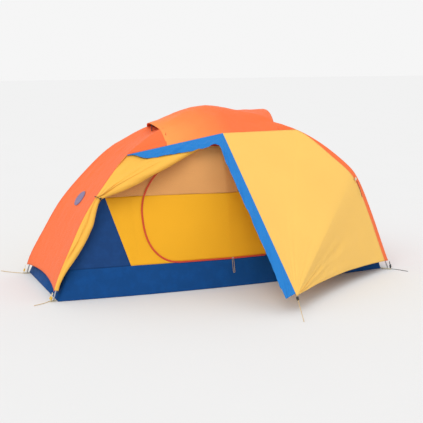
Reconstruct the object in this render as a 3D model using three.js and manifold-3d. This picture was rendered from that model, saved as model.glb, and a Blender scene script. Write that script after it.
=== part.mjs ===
// One-person freestanding tent: two crossing poles joined by a hub, a short brow pole,
// an inner tent with a bathtub floor, and a full fly whose front door is rolled back.
// Millimetres, +Z up. Origin: middle of the floor's underside. +X is the head end, -Y the door side.
import * as THREE from "three";
import Module from "manifold-3d";
import { mergeVertices } from "three/addons/utils/BufferGeometryUtils.js";

const wasm = await Module();
wasm.setup();

// ---------- driving dimensions ----------
const floorLength = 2134;
const footWidth = 740;
const headWidth = 970;
const floorBow = 57;
const bathtubHeight = 165;
const solidWallHeight = 556;
const peakHeight = 1066;

// Where the pole feet stand, past the floor's corners.
const footReach = floorLength / 2 + 34;
const footSpread = footWidth / 2 - 8;
const headReach = floorLength / 2 + 47;
const headSpread = headWidth / 2 + 47;

const skin = 2.5;
const seamGap = 3.5;
const clearance = 0.5;

const poleRadius = 4.5;
const browPoleRadius = 4;
const poleDepth = poleRadius + 7.5;
const poleSideInset = poleRadius + 5;
const hubDepth = poleDepth + 8;
const hubRadius = 22;
const hubSocketLength = 26;
const hubDrop = 5;
const innerDepth = poleDepth + 34;
const innerSideInset = poleSideInset + 6.5;

const browSpread = 300;
const browHeight = 916;
const footEaveReach = 575;
const headEaveReach = 540;
const eaveRoundness = 1.35;

const hemHeight = 58;
const hemArch = 30;
const panelSag = 20;
const canopySag = 8;
const footVentReach = 339;
const footVentLift = 50;
const headVentReach = 407;
const headVentLift = 88;
const ventOverhang = 34;
const ventFade = 330;
const propWidth = 10;
const propThickness = 3;
const propInset = 16;
const propTopGap = 3.5;

const vestibuleTip = new THREE.Vector3(58, -1131, 100);
const vestibuleTipTrim = 0.015;
const vestibuleSag = 20;
const vestibuleHemRise = 14;
const vestibuleHemCut = 40;
const flapWidth = 62;

const backHemFlare = 108;
const backSag = 16;

const cornerPanelReach = -627;
const cornerPanelTip = 14;
const doorHingeX = 232;
const doorLeftX = -524;
const doorTopHeight = 842;
const doorFullHeight = 430;
const doorTopLeftX = -190;
const doorShoulder = 16;

const tieHeight = 570;
const rollRadius = 21;
const rollEndRadius = 12;
const rollClearance = 22;
const drapeLeftX = 540;
const drapeRightX = 128;
const drapeDrop = 42;
const loopRadius = 1.8;
const toggleLength = 30;
const toggleRadius = 4.5;

const webbingWidth = 20;
const webbingThickness = 2;
const webbingTail = 26;
const grommetRadius = 5;
const strapWidth = 15;
const strapThickness = 1.6;
const buckleWall = 3;
const buckleLength = 18;
const cordRadius = 1.6;
const tipRadius = 3.4;
const tipHeight = 16;
const footTabInner = 15;
const headTabInner = 40;
const stakeCordEnds = {
  front_foot: [-1211, -400], back_foot: [-1231, 468], front_head: [1175, -632],
};
const vestibuleCordEnd = new THREE.Vector3(21, -1274, 2);
const cordLockRadius = 7;
const cordLockLength = 20;
const guyHeight = 618;
const guyTabLength = 26;
const guyInset = 0.035;
const clipHeight = 790;
const clipWire = 1.5;
const sliderLength = 12;
const pullLength = 82;
const pullLoopRadius = 5;
const pullCordRadius = 1.1;

// ---------- colours ----------
const paint = (color, roughness, metalness) => new THREE.MeshStandardMaterial({ color, roughness, metalness });
const orange = paint(0xf97c4f, 0.7, 0);
const yellow = paint(0xfdd474, 0.7, 0);
const amber = paint(0xefb02e, 0.75, 0);
const meshTan = paint(0xe2a25d, 0.9, 0);
const navy = paint(0x104c8c, 0.7, 0);
const darkNavy = paint(0x204579, 0.75, 0);
const blue = paint(0x2b89d8, 0.7, 0);
const alloy = paint(0xb9bcc2, 0.35, 0.9);
const plastic = paint(0x2a2c30, 0.55, 0);
const yellowPlastic = paint(0xe8b93a, 0.5, 0);
const cream = paint(0xd9cfae, 0.85, 0);
const cordTan = paint(0xc2a56b, 0.85, 0);
const cordDark = paint(0x2c3038, 0.85, 0);

const tent = new THREE.Group();

function place(name, geometry, material, parent = tent) {
  const mesh = new THREE.Mesh(geometry, material);
  mesh.name = name;
  parent.add(mesh);
  return mesh;
}

const lerp = THREE.MathUtils.lerp;
const steps = (count, from = 0, to = 1) =>
  Array.from({ length: count + 1 }, (_, index) => lerp(from, to, index / count));

// ---------- solids ----------
function solidFrom(points, triangles, flip = false) {
  const geometry = new THREE.BufferGeometry().setFromPoints(points);
  const index = triangles.flatMap(([a, b, c]) => (flip ? [a, c, b] : [a, b, c]));
  geometry.setIndex(index);
  return geometry;
}

// A closed sheet: the rows of points are its outer face, and it thickens towards `inside`.
function sheet(rows, thickness = skin, inside = new THREE.Vector3(0, 0, 350)) {
  const rowCount = rows.length;
  const columnCount = rows[0].length;
  const normals = rows.map((row, i) => row.map((point, j) => {
    const along = rows[Math.min(i + 1, rowCount - 1)][j].clone().sub(rows[Math.max(i - 1, 0)][j]);
    const across = row[Math.min(j + 1, columnCount - 1)].clone().sub(row[Math.max(j - 1, 0)]);
    return along.cross(across).normalize();
  }));
  const middleRow = rowCount >> 1;
  const middleColumn = columnCount >> 1;
  const away = rows[middleRow][middleColumn].clone().sub(inside);
  const outward = away.dot(normals[middleRow][middleColumn]) > 0 ? 1 : -1;
  const outerPoints = rows.flat();
  const innerPoints = rows.flatMap((row, i) => row.map((point, j) =>
    point.clone().addScaledVector(normals[i][j], -outward * thickness)));
  const under = outerPoints.length;
  const at = (i, j) => i * columnCount + j;
  const triangles = [];
  const side = (a, b) => {
    triangles.push([a, b, b + under]);
    triangles.push([a, b + under, a + under]);
  };
  for (let i = 0; i + 1 < rowCount; i += 1) {
    for (let j = 0; j + 1 < columnCount; j += 1) {
      triangles.push([at(i, j), at(i + 1, j), at(i, j + 1)]);
      triangles.push([at(i + 1, j), at(i + 1, j + 1), at(i, j + 1)]);
      triangles.push([at(i, j) + under, at(i, j + 1) + under, at(i + 1, j) + under]);
      triangles.push([at(i + 1, j) + under, at(i, j + 1) + under, at(i + 1, j + 1) + under]);
    }
    side(at(i + 1, 0), at(i, 0));
    side(at(i, columnCount - 1), at(i + 1, columnCount - 1));
  }
  for (let j = 0; j + 1 < columnCount; j += 1) {
    side(at(0, j), at(0, j + 1));
    side(at(rowCount - 1, j + 1), at(rowCount - 1, j));
  }
  return solidFrom([...outerPoints, ...innerPoints], triangles, outward < 0);
}

// A closed loft through rings of equal length, with a fan on each end.
function loft(rings) {
  const count = rings[0].length;
  const middle = (ring) => ring.reduce((sum, point) => sum.add(point), new THREE.Vector3()).divideScalar(count);
  const points = [...rings.flat(), middle(rings[0]), middle(rings[rings.length - 1])];
  const first = rings.length * count;
  const triangles = [];
  for (let j = 0; j < count; j += 1) {
    const next = (j + 1) % count;
    for (let i = 0; i + 1 < rings.length; i += 1) {
      triangles.push([i * count + j, i * count + next, (i + 1) * count + j]);
      triangles.push([i * count + next, (i + 1) * count + next, (i + 1) * count + j]);
    }
    triangles.push([first, next, j]);
    triangles.push([first + 1, first - count + j, first - count + next]);
  }
  return solidFrom(points, triangles);
}

function circleShape(radius, sides) {
  const shape = new THREE.Shape();
  steps(sides - 1, 0, 2 * Math.PI * (1 - 1 / sides)).forEach((angle, index) => {
    const draw = index === 0 ? "moveTo" : "lineTo";
    shape[draw](radius * Math.cos(angle), radius * Math.sin(angle));
  });
  shape.closePath();
  return shape;
}

function tube(points, radius, stepCount, sides = 8) {
  const extrudePath = new THREE.CatmullRomCurve3(points, false, "centripetal");
  return new THREE.ExtrudeGeometry(circleShape(radius, sides), { extrudePath, steps: stepCount });
}

function asManifold(geometry) {
  const bare = geometry.clone();
  bare.deleteAttribute("normal");
  bare.deleteAttribute("uv");
  const merged = mergeVertices(bare, 1e-4);
  return new wasm.Manifold(new wasm.Mesh({
    numProp: 3,
    vertProperties: new Float32Array(merged.attributes.position.array),
    triVerts: new Uint32Array(merged.index.array),
  }));
}

function asGeometry(solid) {
  const mesh = solid.getMesh();
  const geometry = new THREE.BufferGeometry();
  geometry.setAttribute("position", new THREE.BufferAttribute(mesh.vertProperties, mesh.numProp));
  geometry.setIndex(new THREE.BufferAttribute(mesh.triVerts, 1));
  return geometry;
}

function cut(body, ...tools) {
  return asGeometry(tools.reduce((solid, tool) => solid.subtract(asManifold(tool)), asManifold(body)));
}

// ---------- the shape that the poles set ----------
// Each end's outline runs from the pole foot to the crossing, as shares of its reach and the peak height.
const footOutline = [
  [1, 0], [0.968, 0.105], [0.89, 0.262], [0.79, 0.443], [0.655, 0.614],
  [0.522, 0.75], [0.389, 0.838], [0.274, 0.893], [0, 1],
];
const headOutline = [
  [1, 0], [0.957, 0.132], [0.888, 0.35], [0.82, 0.539], [0.786, 0.605], [0.755, 0.645],
  [0.627, 0.765], [0.502, 0.849], [0.3725, 0.9015], [0.1885, 0.952], [0, 1],
];

const ends = {
  foot: {
    sign: -1, outline: footOutline, reach: footReach, spread: footSpread,
    eaveReach: footEaveReach, ventReach: footVentReach, ventLift: footVentLift,
  },
  head: {
    sign: 1, outline: headOutline, reach: headReach, spread: headSpread,
    eaveReach: headEaveReach, ventReach: headVentReach, ventLift: headVentLift,
  },
};

function outwardNormal(curve, u) {
  const tangent = curve.getTangentAt(u);
  return new THREE.Vector3(tangent.z, 0, -tangent.x);
}

// One layer of the tent, `depth` inside the fly's outer face along the legs and `crownDepth` at the crossing.
function makeLayer(depth, crownDepth, sideInset) {
  const layer = {};
  for (const [name, end] of Object.entries(ends)) {
    const outer = new THREE.CatmullRomCurve3(
      end.outline.map(([x, z]) => new THREE.Vector3(x * end.reach, 0, z * peakHeight)), false, "centripetal");
    const shifted = steps(24).map((u) => {
      const inset = lerp(depth, crownDepth, u ** 3);
      const normal = u < 1 ? outwardNormal(outer, u) : new THREE.Vector3(0, 0, 1);
      return outer.getPointAt(u).addScaledVector(normal, -inset);
    });
    shifted[24].x = 0;
    layer[name] = {
      ...end,
      sideInset,
      curve: new THREE.CatmullRomCurve3(depth === 0 ? outer.points : shifted, false, "centripetal"),
      browY: browSpread - sideInset,
      browZ: browHeight - lerp(depth, crownDepth, 0.5),
    };
  }
  return layer;
}

function bisect(test) {
  let low = 0;
  let high = 1;
  for (let round = 0; round < 40; round += 1) {
    const middle = (low + high) / 2;
    if (test(middle)) low = middle;
    else high = middle;
  }
  return (low + high) / 2;
}

const shareAtX = (end, x) => bisect((u) => end.curve.getPointAt(u).x > x);
const shareAtZ = (end, z) => bisect((u) => end.curve.getPointAt(u).z < z);
const heightAtX = (end, x) => end.curve.getPointAt(shareAtX(end, x)).z;
const legY = (end, x) => Math.max(end.spread * x / end.reach - end.sideInset * Math.min(1, x / 200), 0);

// The front and back edge of the roof, at a distance x from the crossing.
function edgeAt(end, x, z) {
  if (x >= end.eaveReach) return { y: legY(end, x), z };
  const share = x / end.eaveReach;
  return {
    y: lerp(end.browY, legY(end, end.eaveReach), share),
    z: lerp(end.browZ, heightAtX(end, end.eaveReach), share),
  };
}

// A point of the layer's top: u runs from the pole feet to the crossing, v from front (-1) to back (+1).
function topPoint(end, u, v, sag = panelSag, edgeInset = 0) {
  const at = end.curve.getPointAt(u);
  const normal = u < 1 ? outwardNormal(end.curve, u) : new THREE.Vector3(0, 0, 1);
  const edge = edgeAt(end, at.x, at.z);
  const leg = legY(end, at.x);
  const y = v * (edge.y - edgeInset);
  if (leg > 0 && Math.abs(y) <= leg) {
    at.addScaledVector(normal, -sag * (leg / end.spread) * (1 - (y / leg) ** 2));
  } else {
    const share = (Math.abs(y) - leg) / (edge.y - leg);
    at.z -= (at.z - edge.z) * share ** eaveRoundness;
  }
  return new THREE.Vector3(end.sign * at.x, y, at.z);
}

const fly = makeLayer(0, 0, 0);
const poles = makeLayer(poleDepth, hubDepth, poleSideInset);
const inner = makeLayer(innerDepth, innerDepth, innerSideInset);

// ---------- floor and inner walls ----------
const halfLength = floorLength / 2;

function floorEdgeY(x) {
  const share = (x + halfLength) / floorLength;
  return lerp(footWidth, headWidth, share) / 2 + floorBow * (1 - (x / halfLength) ** 2);
}

const innerEnd = (x) => (x < 0 ? inner.foot : inner.head);

// How far the inner side wall leans in for each millimetre of height.
function sideLean(x) {
  const end = innerEnd(x);
  const distance = Math.min(Math.abs(x), 0.9 * end.reach);
  const edge = edgeAt(end, distance, heightAtX(end, distance));
  return (floorEdgeY(Math.sign(x) * distance) - edge.y) / edge.z;
}

function sideWallPoint(side, x, z) {
  return new THREE.Vector3(x, side * (floorEdgeY(x) - sideLean(x) * z), z);
}

const innerWallX = (end, z) => end.curve.getPointAt(shareAtZ(end, z)).x;
const innerTopZ = (x) => edgeAt(innerEnd(x), Math.abs(x), heightAtX(innerEnd(x), Math.abs(x))).z;

// A panel of the inner side wall between two heights, and between two edges given at each height.
function sidePanel(side, heights, leftEdge, rightEdge, columns) {
  return sheet(heights.map((z) => steps(columns, leftEdge(z), rightEdge(z)).map((x) => sideWallPoint(side, x, z))));
}

const footEdgeX = (z) => -innerWallX(inner.foot, z) + seamGap;
const headEdgeX = (z) => innerWallX(inner.head, z) - seamGap;

function floorOutline(z, inset) {
  const footX = -halfLength + (halfLength - innerWallX(inner.foot, bathtubHeight)) * (z / bathtubHeight) + inset;
  const headX = halfLength - (halfLength - innerWallX(inner.head, bathtubHeight)) * (z / bathtubHeight) - inset;
  const stations = steps(12, footX, headX);
  const front = stations.map((x) => new THREE.Vector3(x, -(floorEdgeY(x) - sideLean(x) * z - inset), z));
  const back = stations.map((x) => new THREE.Vector3(x, floorEdgeY(x) - sideLean(x) * z - inset, z));
  return [...front, ...back.reverse()];
}

function bathtubGeometry() {
  const rings = [
    floorOutline(0, 0), floorOutline(bathtubHeight, 0),
    floorOutline(bathtubHeight, skin), floorOutline(0, skin).map((point) => point.setZ(skin)),
  ];
  const count = rings[0].length;
  const triangles = [];
  for (let j = 0; j < count; j += 1) {
    const next = (j + 1) % count;
    for (let i = 0; i + 1 < rings.length; i += 1) {
      triangles.push([i * count + j, i * count + next, (i + 1) * count + j]);
      triangles.push([i * count + next, (i + 1) * count + next, (i + 1) * count + j]);
    }
  }
  const floorTop = 3 * count;
  for (let j = 0; j + 1 < count / 2; j += 1) {
    const across = count - 1 - j;
    triangles.push([j, across, j + 1]);
    triangles.push([j + 1, across, across - 1]);
    triangles.push([floorTop + j, floorTop + j + 1, floorTop + across]);
    triangles.push([floorTop + j + 1, floorTop + across - 1, floorTop + across]);
  }
  return solidFrom(rings.flat(), triangles);
}

// The door's curved left edge, from the sill up, and its top, which falls away to the left.
const wallBase = bathtubHeight + seamGap;
const doorCorner = doorFullHeight - wallBase;

function doorEdgeX(z) {
  if (z < doorFullHeight) {
    const share = (doorFullHeight - z) / doorCorner;
    return doorLeftX + (1 - Math.sqrt(Math.max(1 - share ** 2.6, 0))) * (doorCorner * 0.72);
  }
  const share = (z - doorFullHeight) / (doorTopHeight - doorFullHeight);
  return lerp(doorLeftX, doorTopLeftX, share ** 2.2);
}

const cornerPanelX = (z) => lerp(
  cornerPanelReach, footEdgeX(solidWallHeight) + cornerPanelTip, (z - wallBase) / (solidWallHeight - wallBase));
const solidHeights = steps(6, wallBase, solidWallHeight);
const meshHeights = (top) => steps(5, solidWallHeight + seamGap, top);

place("bathtub_floor", bathtubGeometry(), navy);
place("inner_corner_panel",
  sidePanel(-1, solidHeights, footEdgeX, (z) => cornerPanelX(z) - seamGap, 5), darkNavy);
place("inner_front_foot_side",
  sidePanel(-1, solidHeights, cornerPanelX, (z) => doorEdgeX(z) - seamGap, 3), amber);
place("inner_front_head_side",
  sidePanel(-1, solidHeights, () => doorHingeX + seamGap, headEdgeX, 7), amber);

// Where the roof's edge comes down to a height, along the foot or head side of the inner tent.
function roofEdgeX(end, z) {
  const share = bisect((along) => innerTopZ(end.sign * lerp(end.reach, 0, along)) < z + 3 * seamGap);
  return end.sign * lerp(end.reach, 0, share);
}

function meshPanelAboveFoot(side, rightEdge) {
  const left = (z) => roofEdgeX(inner.foot, z) + seamGap;
  const meeting = bisect((share) => left(lerp(solidWallHeight, doorTopHeight, share))
    < rightEdge(lerp(solidWallHeight, doorTopHeight, share)) - seamGap);
  const heights = meshHeights(lerp(solidWallHeight, doorTopHeight, meeting) - doorShoulder);
  return sidePanel(side, heights, left, rightEdge, 4);
}

function meshPanelAboveHead(side, leftEdge) {
  return sidePanel(side, meshHeights(doorTopHeight), leftEdge, (z) => roofEdgeX(inner.head, z) - seamGap, 6);
}

place("mesh_front_foot_side", meshPanelAboveFoot(-1, (z) => doorEdgeX(z) - seamGap), meshTan);
place("mesh_front_head_side", meshPanelAboveHead(-1, () => doorHingeX + seamGap), meshTan);
place("inner_back_wall", sidePanel(1, solidHeights, footEdgeX, headEdgeX, 14), amber);
place("mesh_back_wall", sidePanel(1, meshHeights(doorTopHeight - doorShoulder),
  (z) => roofEdgeX(inner.foot, z) + seamGap, (z) => roofEdgeX(inner.head, z) - seamGap, 14), meshTan);

// The door: a solid lower part and a mesh upper part that swing together on the hinge seam.
place("inner_door_lower", sidePanel(-1, solidHeights, doorEdgeX, () => doorHingeX - seamGap, 8), amber);
place("inner_door_mesh", sidePanel(-1, meshHeights(doorTopHeight), doorEdgeX, () => doorHingeX - seamGap, 7), meshTan);

function endWall(end) {
  return sheet(solidHeights.map((z) => {
    const x = innerWallX(end, z);
    const wallX = end.sign * x;
    const half = floorEdgeY(wallX) - sideLean(wallX) * z - seamGap;
    return steps(5, -half, half).map((y) => new THREE.Vector3(wallX, y, z));
  }));
}
place("inner_foot_wall", endWall(inner.foot), amber);
place("inner_head_wall", endWall(inner.head), amber);

// The mesh canopy over the top, from one end wall over the crossing to the other.
function canopyRows(end, count) {
  const start = shareAtZ(end, solidWallHeight + seamGap);
  return steps(count, start, 1).map((u) => steps(8, -1, 1).map((v) => topPoint(end, u, v, canopySag, 2 * seamGap)));
}
const canopy = [...canopyRows(inner.foot, 7), ...canopyRows(inner.head, 8).reverse().slice(1)];
place("inner_canopy", sheet(canopy), meshTan);

// ---------- fly ----------
const hemShare = (end) => shareAtZ(end, hemHeight);

function endPanel(end, rowCount) {
  const bottom = hemShare(end);
  const length = end.curve.getLength();
  const top = shareAtX(end, end.ventReach + seamGap);
  return sheet(steps(rowCount).map((row) => {
    const x = end.curve.getPointAt(lerp(bottom, top, row)).x;
    const atLeg = Math.min(legY(end, x) / edgeAt(end, x, 0).y, 0.92);
    const half = [atLeg / 2, atLeg, (1 + atLeg) / 2, 1];
    return [...half.map((v) => -v).reverse(), 0, ...half].map((v) => {
      const arch = (hemArch / length) * (1 - v * v);
      return topPoint(end, lerp(bottom + arch, top, row), v, panelSag * (1 + 1.6 * row ** 6), seamGap);
    });
  }));
}
place("fly_foot_end", endPanel(fly.foot, 9), orange);
place("fly_head_end", endPanel(fly.head, 10), orange);

// How far the roof stands above the poles' shape, at a distance in from its raised lip.
function ventRise(end, distance, crown) {
  return end.ventLift * crown * Math.max(1 - distance / ventFade, 0) ** 1.4;
}

// The roof's ends are lifted between the poles into vent lips that overhang the end panels.
function roofRows(end, rowCount) {
  const length = end.curve.getLength();
  const lip = shareAtX(end, end.ventReach);
  return steps(rowCount, 0, 1).map((row) => steps(12, -1, 1).map((v) => {
    const lipPoint = topPoint(end, lip, v);
    const legShare = Math.min(Math.abs(lipPoint.y) / legY(end, end.ventReach), 1);
    const crown = 1 - legShare ** 2;
    const start = lip - (ventOverhang * crown) / length;
    const point = topPoint(end, lerp(start, 1, row), v, panelSag, seamGap);
    point.z += ventRise(end, row * (1 - lip) * length, crown);
    return point;
  }));
}
place("fly_roof", sheet([...roofRows(fly.foot, 6), ...roofRows(fly.head, 6).reverse().slice(1)]), orange);

// The edge that the side panels hang from: up one leg, along the eave, and down the other leg.
function legEdge(end, side, count) {
  const from = hemShare(end) + 0.03;
  const to = shareAtX(end, end.eaveReach);
  return steps(count, from, to).map((u) => topPoint(end, u, side));
}
function eaveEdge(end, side, count) {
  return steps(count, end.eaveReach, 0).map((x) => {
    const edge = edgeAt(end, x, 0);
    const z = x >= end.eaveReach ? heightAtX(end, x) : edge.z;
    return new THREE.Vector3(end.sign * x, side * edge.y, z);
  });
}

const headPath = [...legEdge(fly.head, -1, 8), ...eaveEdge(fly.head, -1, 4).slice(1)].reverse();

function vestibulePanel() {
  const last = headPath.length - 1;
  const creaseIndex = 7;
  const inward = new THREE.Vector3(-0.35, 0.85, -0.35).normalize();
  return sheet(headPath.map((edgePoint, index) => {
    const stretch = index < creaseIndex ? index / creaseIndex : (index - creaseIndex) / (last - creaseIndex);
    const slack = 4 + vestibuleSag * Math.sin(Math.PI * stretch);
    const hemPull = Math.max((index - creaseIndex) / (last - creaseIndex), 0) ** 4;
    const reach = edgePoint.distanceTo(vestibuleTip);
    return steps(8, vestibuleTipTrim, 1 - (3 * seamGap) / reach).map((w) => {
      const bulge = 4 * w * (1 - w);
      const point = vestibuleTip.clone().lerp(edgePoint, w);
      point.addScaledVector(inward, slack * bulge);
      point.y += vestibuleHemCut * hemPull * bulge;
      point.z += vestibuleHemRise * hemPull * bulge;
      return point;
    });
  }));
}
place("fly_front_panel", vestibulePanel(), yellow);

function backPanel() {
  const down = [...legEdge(fly.foot, 1, 8), ...eaveEdge(fly.foot, 1, 3).slice(1)];
  const up = [...legEdge(fly.head, 1, 8), ...eaveEdge(fly.head, 1, 3).slice(1)].reverse().slice(1);
  const edge = [...down, ...up];
  const footX = -fly.foot.curve.getPointAt(hemShare(fly.foot)).x;
  const headX = fly.head.curve.getPointAt(hemShare(fly.head)).x;
  const last = edge.length - 1;
  return sheet(edge.map((top, index) => {
    const share = index / last;
    const hem = new THREE.Vector3(
      lerp(footX, headX, share),
      lerp(footSpread, headSpread, share) + backHemFlare * (1 - (2 * share - 1) ** 2), hemHeight - 4);
    const height = top.distanceTo(hem);
    return steps(6, (3 * seamGap) / Math.max(height, 12 * seamGap), 1).map((w) => {
      const point = top.clone().lerp(hem, w);
      point.y -= backSag * 4 * w * (1 - w) * Math.min(height / 600, 1);
      return point;
    });
  }), skin);
}
place("fly_back_panel", backPanel(), yellow);

// The blue flap that covers the zip: under the eave from the foot-side leg, then down the zip line.
const browFront = new THREE.Vector3(0, -browSpread, browHeight);
const zipStart = browFront.clone();
const zipEnd = vestibuleTip.clone();
function stormFlap() {
  const eave = eaveEdge(fly.foot, -1, 6).map((point, index) => {
    const width = lerp(16, flapWidth, (index / 6) ** 1.5);
    const top = point.clone().add(new THREE.Vector3(0, -3 * seamGap, -2 * seamGap));
    return steps(2).map((w) => top.clone().add(new THREE.Vector3(-6 * w, 4 * w, -width * w)));
  });
  const down = steps(9, 0.06, 0.93).map((w) => {
    const edge = zipStart.clone().lerp(zipEnd, w).add(new THREE.Vector3(-seamGap, 0, 0));
    return steps(2).map((across) => edge.clone().add(
      new THREE.Vector3(-flapWidth * across, -8 * across, -16 * across - 10 * across * (1 - w))));
  });
  return sheet([...eave.slice(0, -1), ...down]);
}
place("fly_storm_flap", stormFlap(), blue);

// The front door, gathered from the eave to its tie and rolled down the foot-side leg.
const rollTie = topPoint(fly.foot, shareAtZ(fly.foot, tieHeight), -1)
  .add(new THREE.Vector3(0, -rollRadius - rollClearance, 0));

function underEave(x) {
  const edge = edgeAt(fly.foot, x, heightAtX(fly.foot, x));
  return new THREE.Vector3(-x, -edge.y - rollClearance, edge.z - drapeDrop);
}

function rollFrame() {
  const down = topPoint(fly.foot, shareAtX(fly.foot, 0.97 * footReach), -1).sub(rollTie).normalize();
  const outward = new THREE.Vector3(0, -1, 0);
  outward.addScaledVector(down, -outward.dot(down)).normalize();
  return { down, outward, sideways: down.clone().cross(outward) };
}

function doorRoll() {
  const footLeg = (x) => {
    const u = shareAtX(fly.foot, x);
    return topPoint(fly.foot, u, -1);
  };
  const low = footLeg(0.97 * footReach).add(new THREE.Vector3(0, -rollEndRadius - rollClearance / 2, 0));
  const middle = footLeg(0.86 * footReach).add(new THREE.Vector3(0, -rollRadius - rollClearance, 0));
  const eaveLeft = underEave(drapeLeftX);
  const eaveRight = underEave(drapeRightX);
  const sections = [
    { a: eaveLeft, b: eaveRight, thick: 9 },
    { a: eaveLeft.clone().lerp(rollTie, 0.3), b: eaveRight.clone().lerp(rollTie, 0.28), thick: 11 },
    { a: eaveLeft.clone().lerp(rollTie, 0.62), b: eaveRight.clone().lerp(rollTie, 0.6), thick: 14 },
    { a: eaveLeft.clone().lerp(rollTie, 0.86), b: eaveRight.clone().lerp(rollTie, 0.86), thick: 17 },
    { centre: rollTie, radius: rollRadius * 0.8 },
    { centre: rollTie.clone().lerp(middle, 0.3), radius: rollRadius },
    { centre: middle, radius: rollRadius * 0.85 },
    { centre: low, radius: rollEndRadius },
  ];
  const { outward, sideways } = rollFrame();
  return loft(sections.map((section) => {
    const centre = section.centre ?? section.a.clone().lerp(section.b, 0.5);
    const wide = section.centre
      ? sideways.clone().multiplyScalar(-section.radius)
      : section.b.clone().sub(section.a).multiplyScalar(0.5);
    const thin = outward.clone().multiplyScalar(section.radius ?? section.thick);
    return steps(11, 0, 2 * Math.PI * 11 / 12).map((angle) =>
      centre.clone().addScaledVector(wide, Math.cos(angle)).addScaledVector(thin, Math.sin(angle)));
  }));
}
place("fly_door_roll", doorRoll(), yellow);

// ---------- poles ----------
const corners = [
  { name: "front_foot", end: "foot", side: -1, outward: [-1, -0.2] },
  { name: "back_foot", end: "foot", side: 1, outward: [-1, 0.2] },
  { name: "front_head", end: "head", side: -1, outward: [0.66, -0.75] },
  { name: "back_head", end: "head", side: 1, outward: [0.66, 0.75] },
];

function legPoint(end, side, u) {
  const at = end.curve.getPointAt(u);
  return new THREE.Vector3(end.sign * at.x, side * legY(end, at.x), at.z);
}

const hubCentre = new THREE.Vector3(0, 0, peakHeight - hubDepth);
const hubEndShare = (end, side, distance) =>
  bisect((u) => legPoint(end, side, u).distanceTo(hubCentre) > distance);

function poleSection(end, side, from, to, stepCount) {
  return tube(steps(stepCount, from, to).map((u) => legPoint(end, side, u)), poleRadius, stepCount * 2);
}

function cylinderAt(radius, height, centre, sides = 16) {
  return new THREE.CylinderGeometry(radius, radius, height, sides)
    .rotateX(Math.PI / 2).translate(centre.x, centre.y, centre.z);
}

for (const { name, end: endName, side } of corners) {
  const end = poles[endName];
  const bottom = shareAtZ(end, tipHeight - 4);
  const joint = 0.46;
  const top = hubEndShare(end, side, hubRadius + hubSocketLength + clearance);
  const jointGap = 3 * clearance / end.curve.getLength();
  const foot = legPoint(end, side, bottom).setZ(tipHeight / 2);
  const lower = asManifold(poleSection(end, side, bottom, joint, 6));
  const tip = asManifold(cylinderAt(tipRadius, tipHeight, foot));
  place(`pole_${name}_lower`, asGeometry(lower.add(tip)), alloy);
  place(`pole_${name}_upper`, poleSection(end, side, joint + jointGap, top, 6), alloy);
}

const hubDisc = new THREE.CylinderGeometry(hubRadius, hubRadius, 9, 24).rotateX(Math.PI / 2)
  .translate(0, 0, hubCentre.z - hubDrop);
const hub = corners.reduce((solid, { end: endName, side }) => {
  const end = poles[endName];
  const from = legPoint(end, side, hubEndShare(end, side, hubRadius - 9));
  const to = legPoint(end, side, hubEndShare(end, side, hubRadius + hubSocketLength));
  return solid.add(asManifold(tube([from, to], poleRadius + 2, 1, 10)));
}, asManifold(hubDisc));
place("pole_hub", asGeometry(hub), plastic);

// The brow pole arches from front to back over the hub.
const browArch = steps(16, -1, 1).map((share) => {
  const y = share * (browSpread - poleDepth);
  const drop = (peakHeight - browHeight) * Math.abs(y / browSpread) ** eaveRoundness;
  return new THREE.Vector3(0, y, peakHeight - poleDepth + 2 - drop - 4 * Math.abs(share));
});
place("brow_pole", tube(browArch, browPoleRadius, 24), alloy);

// Clips hook over the legs and carry the inner tent.
for (const { name, end: endName, side } of corners) {
  const share = shareAtZ(poles[endName], clipHeight);
  const centre = legPoint(poles[endName], side, share);
  const hung = legPoint(inner[endName], side, shareAtZ(inner[endName], clipHeight - 24));
  hung.y -= side * 3 * seamGap;
  const toInner = hung.clone().sub(centre).normalize();
  const along = legPoint(poles[endName], side, share + 0.01)
    .sub(legPoint(poles[endName], side, share - 0.01)).normalize();
  const sideways = along.clone().cross(toInner).normalize();
  const toward = sideways.clone().cross(along).normalize();
  const wrap = poleRadius + 3 * clearance + clipWire;
  const hook = tube(steps(8, -0.75 * Math.PI, 0.75 * Math.PI).map((angle) => centre.clone()
    .addScaledVector(toward, Math.cos(angle) * wrap).addScaledVector(sideways, Math.sin(angle) * wrap)), clipWire, 10);
  const stemStart = centre.clone().addScaledVector(toward, wrap);
  const stemEnd = hung.clone().addScaledVector(toInner, -6);
  const stem = tube([stemStart, stemEnd], clipWire * 1.5, 1);
  place(`clip_${name}`, asGeometry(asManifold(hook).add(asManifold(stem))), plastic);
}

// ---------- corners: webbing with its grommet, strap, buckle and stake cord ----------
function webbingTab(tabInner) {
  const shape = new THREE.Shape();
  shape.moveTo(-tabInner, -webbingWidth / 2);
  shape.lineTo(webbingTail, -webbingWidth / 2);
  shape.lineTo(webbingTail, webbingWidth / 2);
  shape.lineTo(-tabInner, webbingWidth / 2);
  shape.closePath();
  const hole = new THREE.Path();
  hole.absarc(0, 0, grommetRadius, 0, 2 * Math.PI, true);
  shape.holes.push(hole);
  return new THREE.ExtrudeGeometry(shape, { depth: webbingThickness, bevelEnabled: false, curveSegments: 8 });
}

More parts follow.
